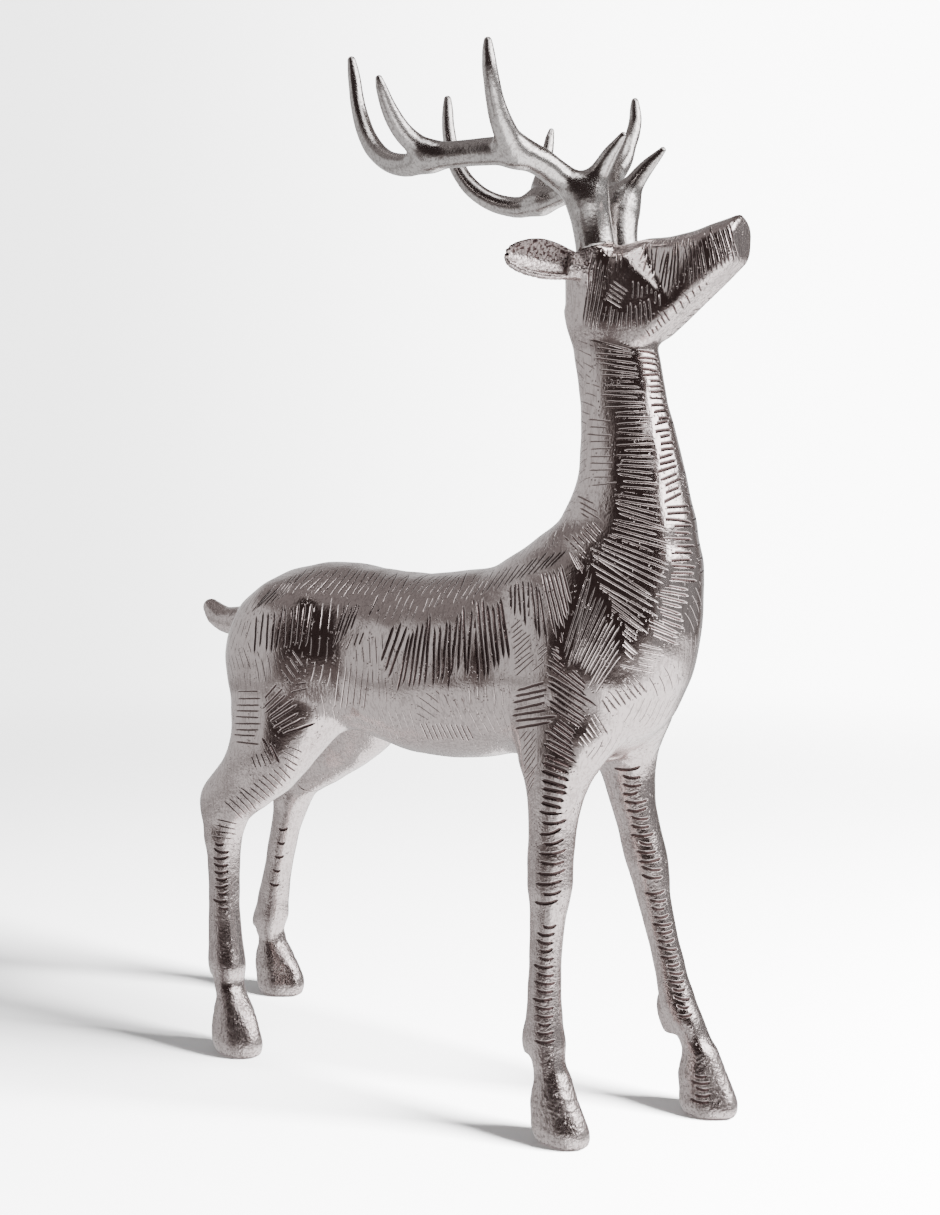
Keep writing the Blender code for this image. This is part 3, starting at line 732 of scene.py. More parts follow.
SHOULDER_ROWS: tuple[Row, ...] = (
    Row((576, 612), (611, 670), (84, 46), (75, 56), 4.2, 0.9),
    Row((573, 660), (564, 716), (58, 42), (-38, -34), 5.8, 1.6),
    Row((511, 594), (524, 600), (28, 44), (92, 94), 5.0, 1.5),
    Row((529, 603), (543, 612), (52, 60), (94, 98), 5.2, 1.5),
    Row((548, 600), (566, 584), (72, 40), (102, 106), 5.2, 1.5),
    Row((554, 622), (564, 612), (46, 50), (102, 104), 5.2, 1.4),
    Row((518, 622), (524, 668), (22, 26), (42, 38), 5.0, 1.0),
    Row((538, 634), (540, 664), (20, 20), (44, 40), 5.0, 1.0),
    Row((531, 686), (531, 726), (38, 40), (14, 8), 6.2, 1.6),
    Row((560, 722), (558, 752), (36, 32), (-40, -28), 6.4, 1.8),
    Row((576, 738), (600, 722), (26, 26), (-52, -56), 5.0, 0.9),
    Row((556, 760), (552, 806), (30, 22), (-24, -12), 7.5, 2.1),
    Row((528, 724), (530, 790), (24, 20), (52, 60), 6.0, 0.9),
    Row((606, 706), (640, 684), (18, 24), (-54, -50), 6.0, 0.9),
    Row((574, 560), (586, 572), (30, 28), (112, 122), 5.0, 1.0),
)
CHEST_ROWS: tuple[Row, ...] = (
    Row((635, 551), (618, 586), (70, 82), (-20, -34), 5.2, 0.9),
    Row((614, 592), (616, 642), (80, 52), (-34, -42), 5.0, 0.9),
    Row((667, 586), (658, 636), (46, 50), (-10, -26), 5.5, 1.2),
    Row((640, 644), (634, 668), (46, 40), (-14, -12), 5.5, 0.9),
)
NECK_ROWS: tuple[Row, ...] = (
    Row((611, 345), (619, 376), (42, 40), (-10, -6), 5.2),
    Row((620, 381), (622, 407), (38, 36), (-2, 0), 5.2),
    Row((632, 412), (638, 488), (34, 38), (3, -6), 5.4),
    Row((639, 493), (635, 545), (42, 56), (-8, -20), 5.4),
    Row((648, 352), (652, 392), (26, 26), (-4, 2), 5.8, 1.5),
    Row((656, 398), (664, 470), (28, 32), (6, 16), 6.5, 1.6),
    Row((667, 477), (672, 498), (28, 28), (22, 26), 7.0, 1.5),
    Row((676, 506), (680, 580), (30, 34), (0, -4), 6.5, 1.5),
    Row((598, 420), (603, 484), (22, 26), (-2, 4), 7.0, 0.8),
    Row((580, 553), (600, 530), (44, 26), (-48, -46), 5.5, 1.1),
    Row((586, 500), (592, 520), (22, 24), (-24, -34), 6.5, 0.9),
)
HEAD_ROWS: tuple[Row, ...] = (
    Row((620, 286), (612, 302), (20, 18), (-36, -32), 4.6, 0.8),
    Row((588, 290), (603, 296), (66, 72), (82, 80), 4.6, 1.1),
    Row((607, 300), (622, 312), (54, 32), (80, 86), 4.6, 1.1),
    Row((626, 316), (650, 312), (28, 22), (88, 96), 5.0),
    Row((590, 260), (622, 256), (18, 16), (84, 80), 5.0, 0.8),
    Row((633, 290), (660, 300), (18, 14), (84, 88), 5.0, 0.8),
    Row((643, 252), (656, 262), (22, 40), (74, 78), 5.2, 0.8),
    Row((660, 272), (678, 262), (44, 50), (78, 86), 4.4),
    Row((683, 262), (704, 258), (48, 38), (90, 100), 4.6),
    Row((709, 252), (734, 244), (42, 34), (100, 106), 4.6, 1.1),
    Row((662, 244), (676, 240), (9, 8), (70, 74), 4.5, 0.8),
    Row((648, 333), (668, 318), (12, 10), (-54, -54), 5.0),
    Row((676, 311), (706, 282), (9, 8), (-60, -60), 8.0),
)
ROWS: tuple[Row, ...] = (HAUNCH_ROWS + BACK_ROWS + FLANK_ROWS + SHOULDER_ROWS + CHEST_ROWS
                         + NECK_ROWS + HEAD_ROWS)


@dataclass(frozen=True)
class Column:
    """A column of short dashes, one above the other, across the front, side or back of a leg."""

    hind: bool
    left: bool
    turn: float  # degrees round the leg: 0 in front, 90 outside
    low: float
    high: float
    length: float  # of a dash, in mm
    pitch: float
    slope: float = 0.0  # degrees, rising to the front or the inside


COLUMNS: tuple[Column, ...] = (
    *(Column(*place) for left in (False, True) for place in (
        (False, left, 60.0, 50.0, 110.0, 8.5, 4.0),
        (False, left, 58.0, 118.0, 166.0, 12.0, 4.9, 12.0),
        (True, left, 58.0, 80.0, 126.0, 8.5, 4.0),
    )),
    Column(False, True, -50.0, 50.0, 112.0, 8.5, 4.0),
    Column(False, True, -54.0, 118.0, 174.0, 10.5, 4.2),
    Column(False, True, -76.0, 9.0, 22.0, 8.5, 3.0),
    Column(True, True, -58.0, 70.0, 112.0, 6.0, 9.0),
)


class Chasing:
    """The chased strokes on a skin: where each face lies beside its two nearest ones."""

    FAR = 9.0  # reach of a face with no stroke near it
    FAINT = 0.6  # breadth of the filling strokes
    BAR = (-0.9, 1.8)  # bend and breadth of the dashes on the legs
    FILL_PITCH = 4.6

    def __init__(self, skin: Skin, seed: int) -> None:
        """Starts with a bare skin.

        Args:
            skin: The skin to work on, in mm.
            seed: Seed of the small irregularities.
        """
        self.skin = skin
        self.dice = np.random.default_rng(seed)
        self.tree = BVHTree.FromPolygons(skin.points.tolist(), skin.quads.tolist())
        self.reach = np.full((2, len(skin.quads)), self.FAR)
        self.place = np.full((2, len(skin.quads), 4, 3), self.FAR)
        self.taken = np.zeros(len(skin.quads), bool)
        self.count = 0

    def settle(self, margin: float = 2.3) -> None:
        """Keeps the faces beside the strokes so far from being cut again by later rows."""
        self.taken = self.reach[0] < margin

    def stroke(self, middle: Array, out: Array, way: Array, length: float, bend: float = 0.0,
               wide: float = 1.0) -> None:
        """Cuts one stroke: the faces that it is nearest or next to take their places beside it.

        A face's place is its distance across the stroke, its distance along it over half the
        length, and the stroke's breadth.

        Args:
            middle: Middle of the stroke.
            out: The skin's normal there.
            way: Direction of the stroke.
            length: Its length, in mm.
            bend: How far the ends curve aside, in mm.
            wide: Breadth, as a share of the usual one.
        """
        way = way - out * (way @ out)
        way = way / max(np.linalg.norm(way), 1e-9)
        side = np.cross(out, way)
        half = 0.5 * length
        near = np.flatnonzero(np.abs(self.skin.middles - middle).max(1) < half + 4.0)
        if not len(near):
            return
        offset = self.skin.middles[near] - middle
        along, across = offset @ way, offset @ side
        across = across - bend * (along / half) ** 2
        reach = np.hypot(np.maximum(np.abs(along) - half, 0.0), across)
        fits = (reach < self.reach[1, near]) & (np.abs(offset @ out) < 2.5 + 0.3 * half)
        fits &= ~self.taken[near]
        fits &= self.skin.faces_out[near] @ out > 0.3
        near, reach = near[fits], reach[fits]
        if not len(near):
            return
        offset = self.skin.points[self.skin.quads[near]] - middle
        along = offset @ way / half
        place = np.stack([offset @ side - bend * along**2, along, np.full(along.shape, wide)], -1)
        first = reach < self.reach[0, near]
        for kept in (self.reach, self.place):
            kept[1, near[first]] = kept[0, near[first]]
        for rank, chosen in ((0, first), (1, ~first)):
            self.reach[rank, near[chosen]] = reach[chosen]
            self.place[rank, near[chosen]] = place[chosen]
        self.count += 1

    def row(self, sight: Sight, row: Row, mirrored: bool) -> None:
        """Cuts a row of strokes where rays from a standpoint meet the skin.

        Args:
            sight: The standpoint.
            row: The row on its picture plane.
            mirrored: Whether it is cut on the deer's other side.
        """
        self.settle()
        start, end = np.array(row.start), np.array(row.end)
        number = max(2, int(round(np.linalg.norm(end - start) / row.pitch)) + 1)
        for t in np.linspace(0.0, 1.0, number):
            jitter = self.dice.normal(size=4)
            length = (row.length[0] + (row.length[1] - row.length[0]) * t) * (1 + 0.08 * jitter[0])
            turned = (row.slope[1] - row.slope[0]) * t
            slope = math.radians(row.slope[0] + turned + 2.0 * jitter[1])
            middle = start + (end - start) * t
            step = 0.5 * length * np.array((math.cos(slope), -math.sin(slope)))
            middle = middle + step * 0.10 * jitter[2] + row.pitch * 0.05 * jitter[3]
            hits = []
            for place in (middle - step, middle, middle + step):
                hits.append(self.tree.ray_cast(*sight.ray(place[0], place[1], mirrored)))
            if hits[1][0] is None:
                continue
            centre = np.array(hits[1][0])
            if mirrored and self.reach[0, hits[1][2]] < 4.0:
                continue
            ends = [np.array(h[0]) if h[0] is not None else None for h in (hits[0], hits[2])]
            ends = [None if e is None or np.linalg.norm(e - centre) >= length else e for e in ends]
            if ends[0] is None and ends[1] is None:
                continue
            first = ends[0] if ends[0] is not None else 2 * centre - ends[1]
            last = ends[1] if ends[1] is not None else 2 * centre - ends[0]
            out = np.array(hits[1][1])
            way = last - first
            side = np.cross(out, way / max(np.linalg.norm(way), 1e-9))
            bend = float((0.5 * (first + last) - centre) @ side)
            self.stroke(centre, out, way, float(np.linalg.norm(way)), float(np.clip(bend, -3.0, 3.0)),
                        row.wide)

    def column(self, leg: Leg, column: Column) -> None:
        """Cuts a column of short dashes up a leg.

        Args:
            leg: The leg, a right one.
            column: The column on it, or on its left twin.
        """
        self.settle()
        hand = 1.0 if column.left else -1.0
        bend, wide = self.BAR
        for z in np.arange(column.low, column.high, column.pitch):
            jitter = self.dice.normal(size=3)
            centre_x, _, centre_y, _ = stations_at(leg.stations, np.array([z]))[0]
            turned = math.radians(column.turn + 4.0 * jitter[0])
            away = np.array((math.cos(turned), hand * math.sin(turned), 0.0))
            axis = np.array((centre_x + float(leg.lean(z, column.left)), hand * centre_y, z))
            hit = self.tree.ray_cast(Vector(axis + 30.0 * away), Vector(-away))
            if hit[0] is None:
                continue
            out = np.array(hit[1])
            tilt = math.radians(column.slope + 5.0 * jitter[1])
            way = np.cross(UP, out) * -hand * math.cos(tilt) + UP * math.sin(tilt)
            length = column.length * (1 + 0.15 * jitter[2])
            self.stroke(np.array(hit[0]), out, way, length, bend * hand, wide)

    def patch(self, face: int, number: int, length: float, pitch: float, slope: float) -> None:
        """Cuts a patch of faint side-by-side strokes around a face.

        Args:
            face: The face in the middle of the patch.
            number: Number of strokes.
            length: Their length, in mm.
            pitch: Distance between them.
            slope: Their angle from upright, in degrees.
        """
        out, middle = self.skin.faces_out[face], self.skin.middles[face]
        up = UP if abs(out[2]) < 0.85 else np.array((1.0, 0.0, 0.0))
        up = up - out * (up @ out)
        up /= np.linalg.norm(up)
        across = np.cross(out, up)
        turn = math.radians(slope)
        way = up * math.cos(turn) + across * math.sin(turn)
        side = np.cross(out, way)
        for k in range(number):
            spot = middle + side * pitch * (k - 0.5 * (number - 1))
            place, normal, _, _ = self.tree.find_nearest(Vector(spot))
            jitter = self.dice.normal(size=2)
            normal = np.array(normal)
            if normal @ out < 0.2:
                continue
            size = length * (1 + 0.12 * jitter[0])
            self.stroke(np.array(place) + way * jitter[1], normal, way, size, 0.5, self.FAINT)

    def fill(self, allowed: Array, gap: float, slope: Callable[[Array], float]) -> None:
        """Cuts patches wherever the skin is still bare.

        Args:
            allowed: Which faces may be chased.
            gap: How far from every stroke a face has to be to start a patch.
            slope: Angle of the strokes from upright at a place, in degrees.
        """
        for face in self.dice.permutation(np.flatnonzero(allowed)):
            if self.reach[0, face] > gap:
                self.settle()
                number = int(self.dice.integers(5, 9))
                length = float(self.dice.uniform(11.0, 17.0))
                turn = slope(self.skin.middles[face]) + float(self.dice.normal() * 16.0)
                self.patch(int(face), number, length, self.FILL_PITCH, turn)


class Finish(Enum):
    """The two finishes of the castings, by the record's slots."""

    POLISHED = "polished_aluminium"
    SATIN = "satin_aluminium"


class Wiring:
    """A node tree, with short ways to add the nodes that the finishes and the room share."""

    def __init__(self, tree: bpy.types.NodeTree) -> None:
        """Keeps the tree to wire."""
        self.tree = tree

    @classmethod
    def group(cls, name: str, inputs: dict[str, float | None],
              outputs: tuple[str, ...]) -> "Wiring":
        """An empty node group with named sockets.

        Args:
            name: Name of the group.
            inputs: Name and starting value of each input, None for a vector.
            outputs: Names of the outputs, all of them numbers.

        Returns:
            The wiring of the group, with its Group Input and Group Output nodes.
        """
        tree = bpy.data.node_groups.new(name, "ShaderNodeTree")
        for label, value in inputs.items():
            kind = "NodeSocketVector" if value is None else "NodeSocketFloat"
            socket = tree.interface.new_socket(label, in_out="INPUT", socket_type=kind)
            if value is not None:
                socket.default_value = value
        for label in outputs:
            tree.interface.new_socket(label, in_out="OUTPUT", socket_type="NodeSocketFloat")
        tree.nodes.new("NodeGroupInput").name = "in"
        tree.nodes.new("NodeGroupOutput").name = "out"
        return cls(tree)

    def given(self) -> list[bpy.types.NodeSocket]:
        """The sockets of the group's inputs, in order, without the empty last one."""
        return list(self.tree.nodes["in"].outputs)[:-1]

    def give(self, **values: bpy.types.NodeSocket) -> None:
        """Links values to the group's outputs of the same names."""
        self.feed(self.tree.nodes["out"], values)

    def feed(self, node: bpy.types.Node, inputs: dict[str | int, Value]) -> None:
        """Links each of a node's inputs to a socket, or sets it to a value."""
        for key, value in inputs.items():
            if isinstance(value, bpy.types.NodeSocket):
                self.tree.links.new(value, node.inputs[key])
            else:
                node.inputs[key].default_value = value

    def node(self, kind: str, inputs: dict[str | int, Value],
             **settings: object) -> bpy.types.NodeOutputs:
        """Adds a node.

        Args:
            kind: Its type.
            inputs: What its inputs are fed, by name or number.
            settings: Its own properties.

        Returns:
            Its outputs.
        """
        node = self.tree.nodes.new(kind)
        for name, value in settings.items():
            setattr(node, name, value)
        self.feed(node, inputs)
        return node.outputs

    def math(self, operation: str, *values: Value, clamp: bool = False) -> bpy.types.NodeSocket:
        """A Math node's result, kept between 0 and 1 if clamped."""
        inputs = dict(enumerate(values))
        return self.node("ShaderNodeMath", inputs, operation=operation, use_clamp=clamp)[0]

    def plus(self, first: Value, second: Value) -> bpy.types.NodeSocket:
        """The sum of two values."""
        return self.math("ADD", first, second)

    def minus(self, first: Value, second: Value) -> bpy.types.NodeSocket:
        """The first value less the second."""
        return self.math("SUBTRACT", first, second)

    def most(self, first: Value, second: Value) -> bpy.types.NodeSocket:
        """The greater of two values."""
        return self.math("MAXIMUM", first, second)

    def times(self, first: Value, *others: Value) -> Value:
        """The product of two values or more."""
        for other in others:
            first = self.math("MULTIPLY", first, other)
        return first

    def ramp(self, value: Value, low: float, high: float, start: float = 0.0,
             end: float = 1.0) -> bpy.types.NodeSocket:
        """A smooth step of a value, from start at low to end at high."""
        inputs = {"Value": value, "From Min": low, "From Max": high,
                  "To Min": start, "To Max": end}
        return self.node("ShaderNodeMapRange", inputs, interpolation_type="SMOOTHSTEP")["Result"]

    def noise(self, scale: float, detail: float, where: Value) -> bpy.types.NodeSocket:
        """A noise texture's value at a place."""
        inputs = {"Scale": scale, "Detail": detail, "Vector": where}
        return self.node("ShaderNodeTexNoise", inputs)["Fac"]

    def mix(self, share: Value, first: Value, second: Value) -> bpy.types.NodeSocket:
        """The first colour where the share is 0 and the second where it is 1."""
        inputs = {"Factor": share, "A": first, "B": second}
        return self.node("ShaderNodeMix", inputs, data_type="RGBA")["Result"]

    def vector(self, operation: str, first: Value, *second: Value) -> bpy.types.NodeOutputs:
        """A Vector Math node's outputs."""
        inputs = dict(enumerate((first, *second)))
        return self.node("ShaderNodeVectorMath", inputs, operation=operation)


def stroke_group() -> bpy.types.NodeTree:
    """The chased stroke as a group: its depth and mask from a face's place beside it.

    The groove deepens smoothly from its edge to its middle and has a low lip outside; both fade
    towards the stroke's ends. Its core is darkened in colour as painted shade, wider in a broad
    stroke.

    Returns:
        A group with inputs Place, Where and Breadth, and outputs Depth and Cut, the painted shade of
        the groove's core.
    """
    inputs = {"Place": None, "Where": None, "Breadth": 0.60}
    wire = Wiring.group("chased_stroke", inputs, ("Depth", "Cut"))
    place, where, breadth = wire.given()
    across, along, wide = wire.node("ShaderNodeSeparateXYZ", {0: place})
    wobble = wire.times(wire.minus(wire.noise(260.0, 2.0, where), 0.5), 0.4)
    across = wire.math("ABSOLUTE", wire.plus(across, wobble))
    taper = wire.ramp(wire.math("ABSOLUTE", along), 1.06, 0.72)
    breadth = wire.times(breadth, wide, wire.plus(0.35, wire.times(taper, 0.65)))
    share = wire.math("DIVIDE", across, breadth)
    lip = wire.times(wire.ramp(share, 0.9, 1.15), wire.ramp(share, 1.5, 1.15))
    deep = wire.minus(wire.ramp(share, 1.0, 0.0), wire.times(lip, 0.12))
    # Painted shade: the groove's core is darkened in colour, wider in a broad stroke.
    core = wire.math("DIVIDE", share, wire.plus(0.38, wire.times(wide, 0.32)))
    cut = wire.times(wire.ramp(core, 1.0, 0.25), taper)
    wire.give(Depth=wire.times(deep, taper, wide),
              Cut=wire.math("MULTIPLY", cut, wide, clamp=True))
    return wire.tree


def casting_group() -> bpy.types.NodeTree:
    """The sand-cast grain as a group: pebbles, pits, faint brush marks and broad patches.

    Returns:
        A group with inputs Where, Raw and Pits, and outputs Height, Pit, Speck and Patch; specks grow
        with Raw, and above 1 they are painted shade.
    """
    inputs = {"Where": None, "Raw": 1.0, "Pits": 1.0}
    wire = Wiring.group("sand_casting", inputs, ("Height", "Pit", "Speck", "Patch"))
    where, raw_and_shade, pits = wire.given()
    drawn = wire.vector("MULTIPLY", where, (1.0, 1.0, 0.16))["Vector"]  # long along z
    textures = ((760.0, 2.0, where), (340.0, 2.0, where), (900.0, 1.0, drawn))
    fine, coarse, brush = (wire.minus(wire.noise(*texture), 0.5) for texture in textures)
    spots = wire.node("ShaderNodeTexVoronoi", {"Scale": 560.0, "Vector": where})["Distance"]
    pitted = wire.ramp(wire.noise(150.0, 2.0, where), 0.50, 0.64)
    pit = wire.times(wire.ramp(spots, 0.36, 0.14), pitted, pits)
    share = wire.plus(0.10, wire.times(raw_and_shade, 1.15))
    grain = wire.times(wire.plus(fine, wire.times(coarse, 1.1)), share)
    height = wire.minus(wire.plus(grain, wire.times(brush, 0.16)), wire.times(pit, 0.8))
    worn = wire.times(wire.ramp(brush, 0.0, -0.16), 0.5)
    # Specks grow with the rawness input; where it passes 1, at the soles and in the ear's hollow,
    # they are painted shade.
    speck = wire.most(wire.times(wire.ramp(fine, 0.0, -0.13), raw_and_shade), worn)
    wire.give(Height=height, Pit=pit, Speck=speck, Patch=wire.noise(42.0, 3.0, where))
    return wire.tree


@dataclass(frozen=True)
class CastMetal:
    """A cast metal finish with its grain, pits and, where the skin holds them, strokes."""

    finish: Finish
    bright: tuple[float, float, float]
    # Colour where pits, specks and brush wear darken the metal, and where painted shade darkens the
    # soles, the ear's hollow and the groove cores.
    dull: tuple[float, float, float]
    roughness: tuple[float, float]  # where it is polished, and where it is raw
    relief: float  # height of the grain, in mm
    pits: float
    # Read from the skin, values above 1 are painted shade: a contact shadow at the soles and shade in
    # the ear's hollow.
    raw_and_shade: float | None = None  # rawness all over, or None to read it from the skin
    stroke_depth: float = 0.0

    def build(self, stroke: bpy.types.NodeTree, casting: bpy.types.NodeTree) -> bpy.types.Material:
        """Wires the material.

        Args:
            stroke: The chased stroke group.
            casting: The sand-casting group.

        Returns:
            The material.
        """
        material = bpy.data.materials.new(self.finish.value)
        material.use_nodes = True
        wire = Wiring(material.node_tree)
        where = wire.node("ShaderNodeTexCoord", {})["Object"]
        raw_and_shade = self.raw_and_shade
        from_skin = raw_and_shade is None
        if from_skin:
            raw_and_shade = wire.node("ShaderNodeAttribute", {}, attribute_name="raw_and_shade")["Fac"]
        inputs = {"Where": where, "Raw": raw_and_shade, "Pits": self.pits}
        cast = wire.node("ShaderNodeGroup", inputs, node_tree=casting)
        height = wire.times(cast["Height"], self.relief)
        # Darker where the grain has pits, specks and brush wear; painted shade from the soles, the
        # ear's hollow and the groove cores joins it below.
        dirt_and_shade = wire.most(wire.times(cast["Pit"], 0.7), wire.times(cast["Speck"], 0.6))
        # Painted shade: where the rawness passes 1 the colour darkens, a painted contact shadow along
        # the soles and painted shade in the ear's upper hollow.
        if from_skin:
            pebbled = wire.plus(wire.times(cast["Speck"], 0.5), 0.38)
            painted_shade = wire.math("MULTIPLY", wire.minus(raw_and_shade, 1.0), pebbled, clamp=True)
            dirt_and_shade = wire.most(dirt_and_shade, painted_shade)
        if self.stroke_depth:
            depths = []
            for name in STROKES:
                place = wire.node("ShaderNodeAttribute", {}, attribute_name=name)["Vector"]
                inputs = {"Place": place, "Where": where}
                cut = wire.node("ShaderNodeGroup", inputs, node_tree=stroke)
                depths.append(cut["Depth"])
                # Painted shade: the groove's dark core joins the colour mix.
                dirt_and_shade = wire.most(dirt_and_shade, cut["Cut"])
            height = wire.minus(height, wire.times(wire.most(*depths), self.stroke_depth))
        patch = wire.ramp(cast["Patch"], 0.35, 0.65, -0.03, 0.03)
        smooth, coarse = self.roughness
        rough = wire.plus(wire.plus(patch, smooth), wire.times(raw_and_shade, coarse - smooth))
        wire.feed(wire.tree.nodes["Principled BSDF"], {
            "Metallic": 1.0,
            "Base Color": wire.mix(dirt_and_shade, (*self.bright, 1.0), (*self.dull, 1.0)),
            "Roughness": wire.plus(rough, wire.times(dirt_and_shade, 0.14)),
            "Normal": wire.node("ShaderNodeBump", {"Distance": MM, "Height": height})["Normal"],
        })
        return material


def placed(name: str, data: bpy.types.ID) -> bpy.types.Object:
    """A new object in the scene, at the origin."""
    thing = bpy.data.objects.new(name, data)
    bpy.context.scene.collection.objects.link(thing)
    return thing


def mesh_piece(name: str, skin: Skin, material: bpy.types.Material) -> bpy.types.Object:
    """Puts a skin into a mesh object, in metres and in the solids' place.

    Args:
        name: Name of the piece.
        skin: The skin, in mm.
        material: Its material.

    Returns:
        The piece, at the origin.
    """
    mesh = bpy.data.meshes.new(name)
    spots = (skin.points - (FRAME_SHIFT, 0.0, 0.0)) * MM
    mesh.from_pydata(spots.tolist(), [], skin.quads.tolist())
    mesh.update()
    mesh.shade_smooth()
    mesh.materials.append(material)
    return placed(name, mesh)


@dataclass
class Body:
    """The body casting: barrel, neck, head, ears, tail and legs blended into one skin."""

    barrel: Table = (
        (-131.0, 226.0, 8.0, 0.0, 8.0), (-127.0, 224.0, 17.0, 0.0, 17.5),
        (-117.0, 223.5, 26.5, 0.0, 28.0), (-103.0, 224.5, 35.5, 0.0, 36.5),
        (-88.0, 226.0, 41.0, 0.0, 40.5), (-62.0, 227.0, 44.0, 0.0, 42.0),
        (-35.0, 224.3, 44.6, 0.0, 42.0), (0.0, 220.3, 47.2, 0.0, 42.5),
        (30.0, 222.5, 48.5, 0.0, 43.0), (60.0, 227.0, 47.0, 0.0, 42.0),
        (90.0, 230.0, 45.0, 0.0, 38.0), (112.0, 230.0, 38.0, 0.0, 30.0),
        (126.0, 230.0, 22.0, 0.0, 18.0),
    )
    neck: Table = (
        (184.0, 93.0, 16.0, 0.0, 17.0), (190.0, 94.0, 27.0, 0.0, 26.0),
        (199.0, 96.0, 35.0, 0.0, 32.0), (210.0, 98.5, 39.5, 0.0, 35.0),
        (225.0, 101.0, 45.0, 0.0, 37.5), (249.0, 103.0, 48.5, 0.0, 37.0),
        (264.0, 104.0, 48.0, 0.0, 35.5), (276.0, 105.5, 46.8, 0.0, 33.0),
        (287.5, 110.0, 40.1, 0.0, 30.0), (300.0, 116.0, 32.3, 0.0, 25.5),
        (316.5, 117.6, 26.7, 0.0, 21.5), (335.5, 115.8, 23.6, 0.0, 18.5),
        (354.0, 112.7, 21.3, 0.0, 15.8), (373.0, 109.2, 20.9, 0.0, 14.8),
        (396.0, 104.0, 20.7, 0.0, 14.4),
    )
    haunch: tuple[Point, Point] = ((-75.5, 27.0, 213.0), (40.0, 20.5, 46.0))
    shoulder: tuple[Point, Point] = ((101.0, 25.0, 226.0), (29.0, 16.5, 45.0))
    tail: Table = (
        (-118.0, 0.0, 234.0, 11.0), (-134.0, 0.0, 234.0, 8.8), (-145.0, 0.0, 234.0, 7.7),
        (-153.0, 0.0, 236.5, 6.8), (-158.6, 0.0, 240.8, 4.9),
    )
    head: Head = field(default_factory=Head)
    ear: Ear = field(default_factory=Ear)
    legs: tuple[Leg, Leg] = (FRONT_LEG, HIND_LEG)
    dents: tuple[tuple[Point, Point, float], ...] = (
        ((-24.0, 42.0, 226.0), (20.0, 30.0, 34.0), 2.6),
        ((72.0, 42.0, 232.0), (12.0, 30.0, 34.0), 1.4),
    )
    barrel_power: float = 2.15
    neck_power: float = 2.2
    neck_blend: float = 24.0
    haunch_blend: float = 13.0
    shoulder_blend: float = 11.0
    tail_blend: float = 7.0
    leg_blend: float = 10.0
    head_blend: float = 5.0
    ear_blend: float = 3.0
    sole_round: float = 1.2
    sole_height: float = 8.0  # below it the feet are stretched down to the floor
    wave: tuple[float, float] = (0.28, 17.0)  # height and length of the skin's waviness
    low: Point = (-172.0, -62.0, -6.0)
    high: Point = (182.0, 62.0, 440.0)
    step: float = 1.54

    def form(self, x: Array, y: Array, z: Array) -> Array:
        """The whole body's field: its forms joined one after the other with soft blends.

        Args:
            x: Places along x, in mm.
            y: Places along y.
            z: Places along z.

        Returns:
            The field, negative inside.
        """
        side = np.abs(y)
        body = loft_field(x, z, y, self.barrel, self.barrel_power)
        neck = loft_field(z, x, y, self.neck, self.neck_power)
        body = smooth_union(body, neck, self.neck_blend)
        body = smooth_union(body, ball_field(x, side, z, *self.haunch), self.haunch_blend)
        body = smooth_union(body, ball_field(x, side, z, *self.shoulder), self.shoulder_blend)
        body = smooth_union(body, branch_field(x, y, z, self.tail, 14), self.tail_blend)
        for sign, left in ((-1.0, False), (1.0, True)):
            for leg in self.legs:
                body = smooth_union(body, leg.field(x, y * sign, z, left), self.leg_blend)
        body = smooth_union(body, self.head.field(x, y, z), self.head_blend)
        body = smooth_union(body, self.ear.field(x, side, z), self.ear_blend)
        crown = self.head.crown
        seat = np.hypot(x - crown.x, side - crown.stem_y) - crown.seat_radius
        body = np.maximum(body, -np.maximum(seat, -crown.height(x, z)))
        return smooth_cut(body, -z, self.sole_round)

    def chase(self, skin: Skin) -> Chasing:
        """Cuts the strokes into the skin.

        Args:
            skin: The body's skin.

        Returns:
            The strokes.
        """
        chasing = Chasing(skin, seed=7)
        sight = Sight()
        for mirrored in (False, True):
            for row in ROWS:
                chasing.row(sight, row, mirrored)
        for column in COLUMNS:
            chasing.column(self.legs[column.hind], column)
        spots, out = skin.middles, skin.faces_out
        allowed = (spots[:, 2] > 186.0) & (out[:, 2] > -0.55) & (spots[:, 0] < 168.0)
        allowed &= (spots[:, 0] > -128.0) & (spots[:, 2] < 376.0)

        def slope(spot: Array) -> float:
            """Strokes lean with the barrel's curve and lie across the neck."""
            lean = 90.0 * float(eased(285.0, 320.0, np.array(spot[2])) * (spot[2] < 382.0))
            return lean + 22.0 * math.sin(spot[0] / 23.0 + spot[2] / 31.0)

        chasing.fill(allowed, 6.5, slope)
        return chasing

    def rawness_and_shade(self, skin: Skin, reach: Array) -> Array:
        """How far from polished the casting was left at each point: 0 polished, 1 as it left the
        sand.

        The most of soft windows over the ears, legs, hooves, soles, belly, jaw, nape, back and tail,
        and of the distance from the strokes, a mean of the faces round the point. Values above 1 are
        painted shade, which darkens the colour: a painted contact shadow along the foot of the soles
        and painted shade in the ear's upper hollow.

        Args:
            skin: The body's skin.
            reach: Distance of each face from its nearest stroke.

        Returns:
            One value for each point.
        """
        x, y, z = skin.points.T
        out = skin.out
        corners = skin.quads.ravel()
        away = np.bincount(corners, np.repeat(reach, 4), len(x))
        away /= np.bincount(corners, minlength=len(x))
        bare = 0.12 + 0.36 * eased(1.5, 4.5, away)
        ear = eased(17.0, 21.0, np.abs(y)) * eased(396.0, 400.0, z) * eased(112.0, 106.0, x)
        _, ear_up, ear_out = self.ear.place(x, np.abs(y), z)
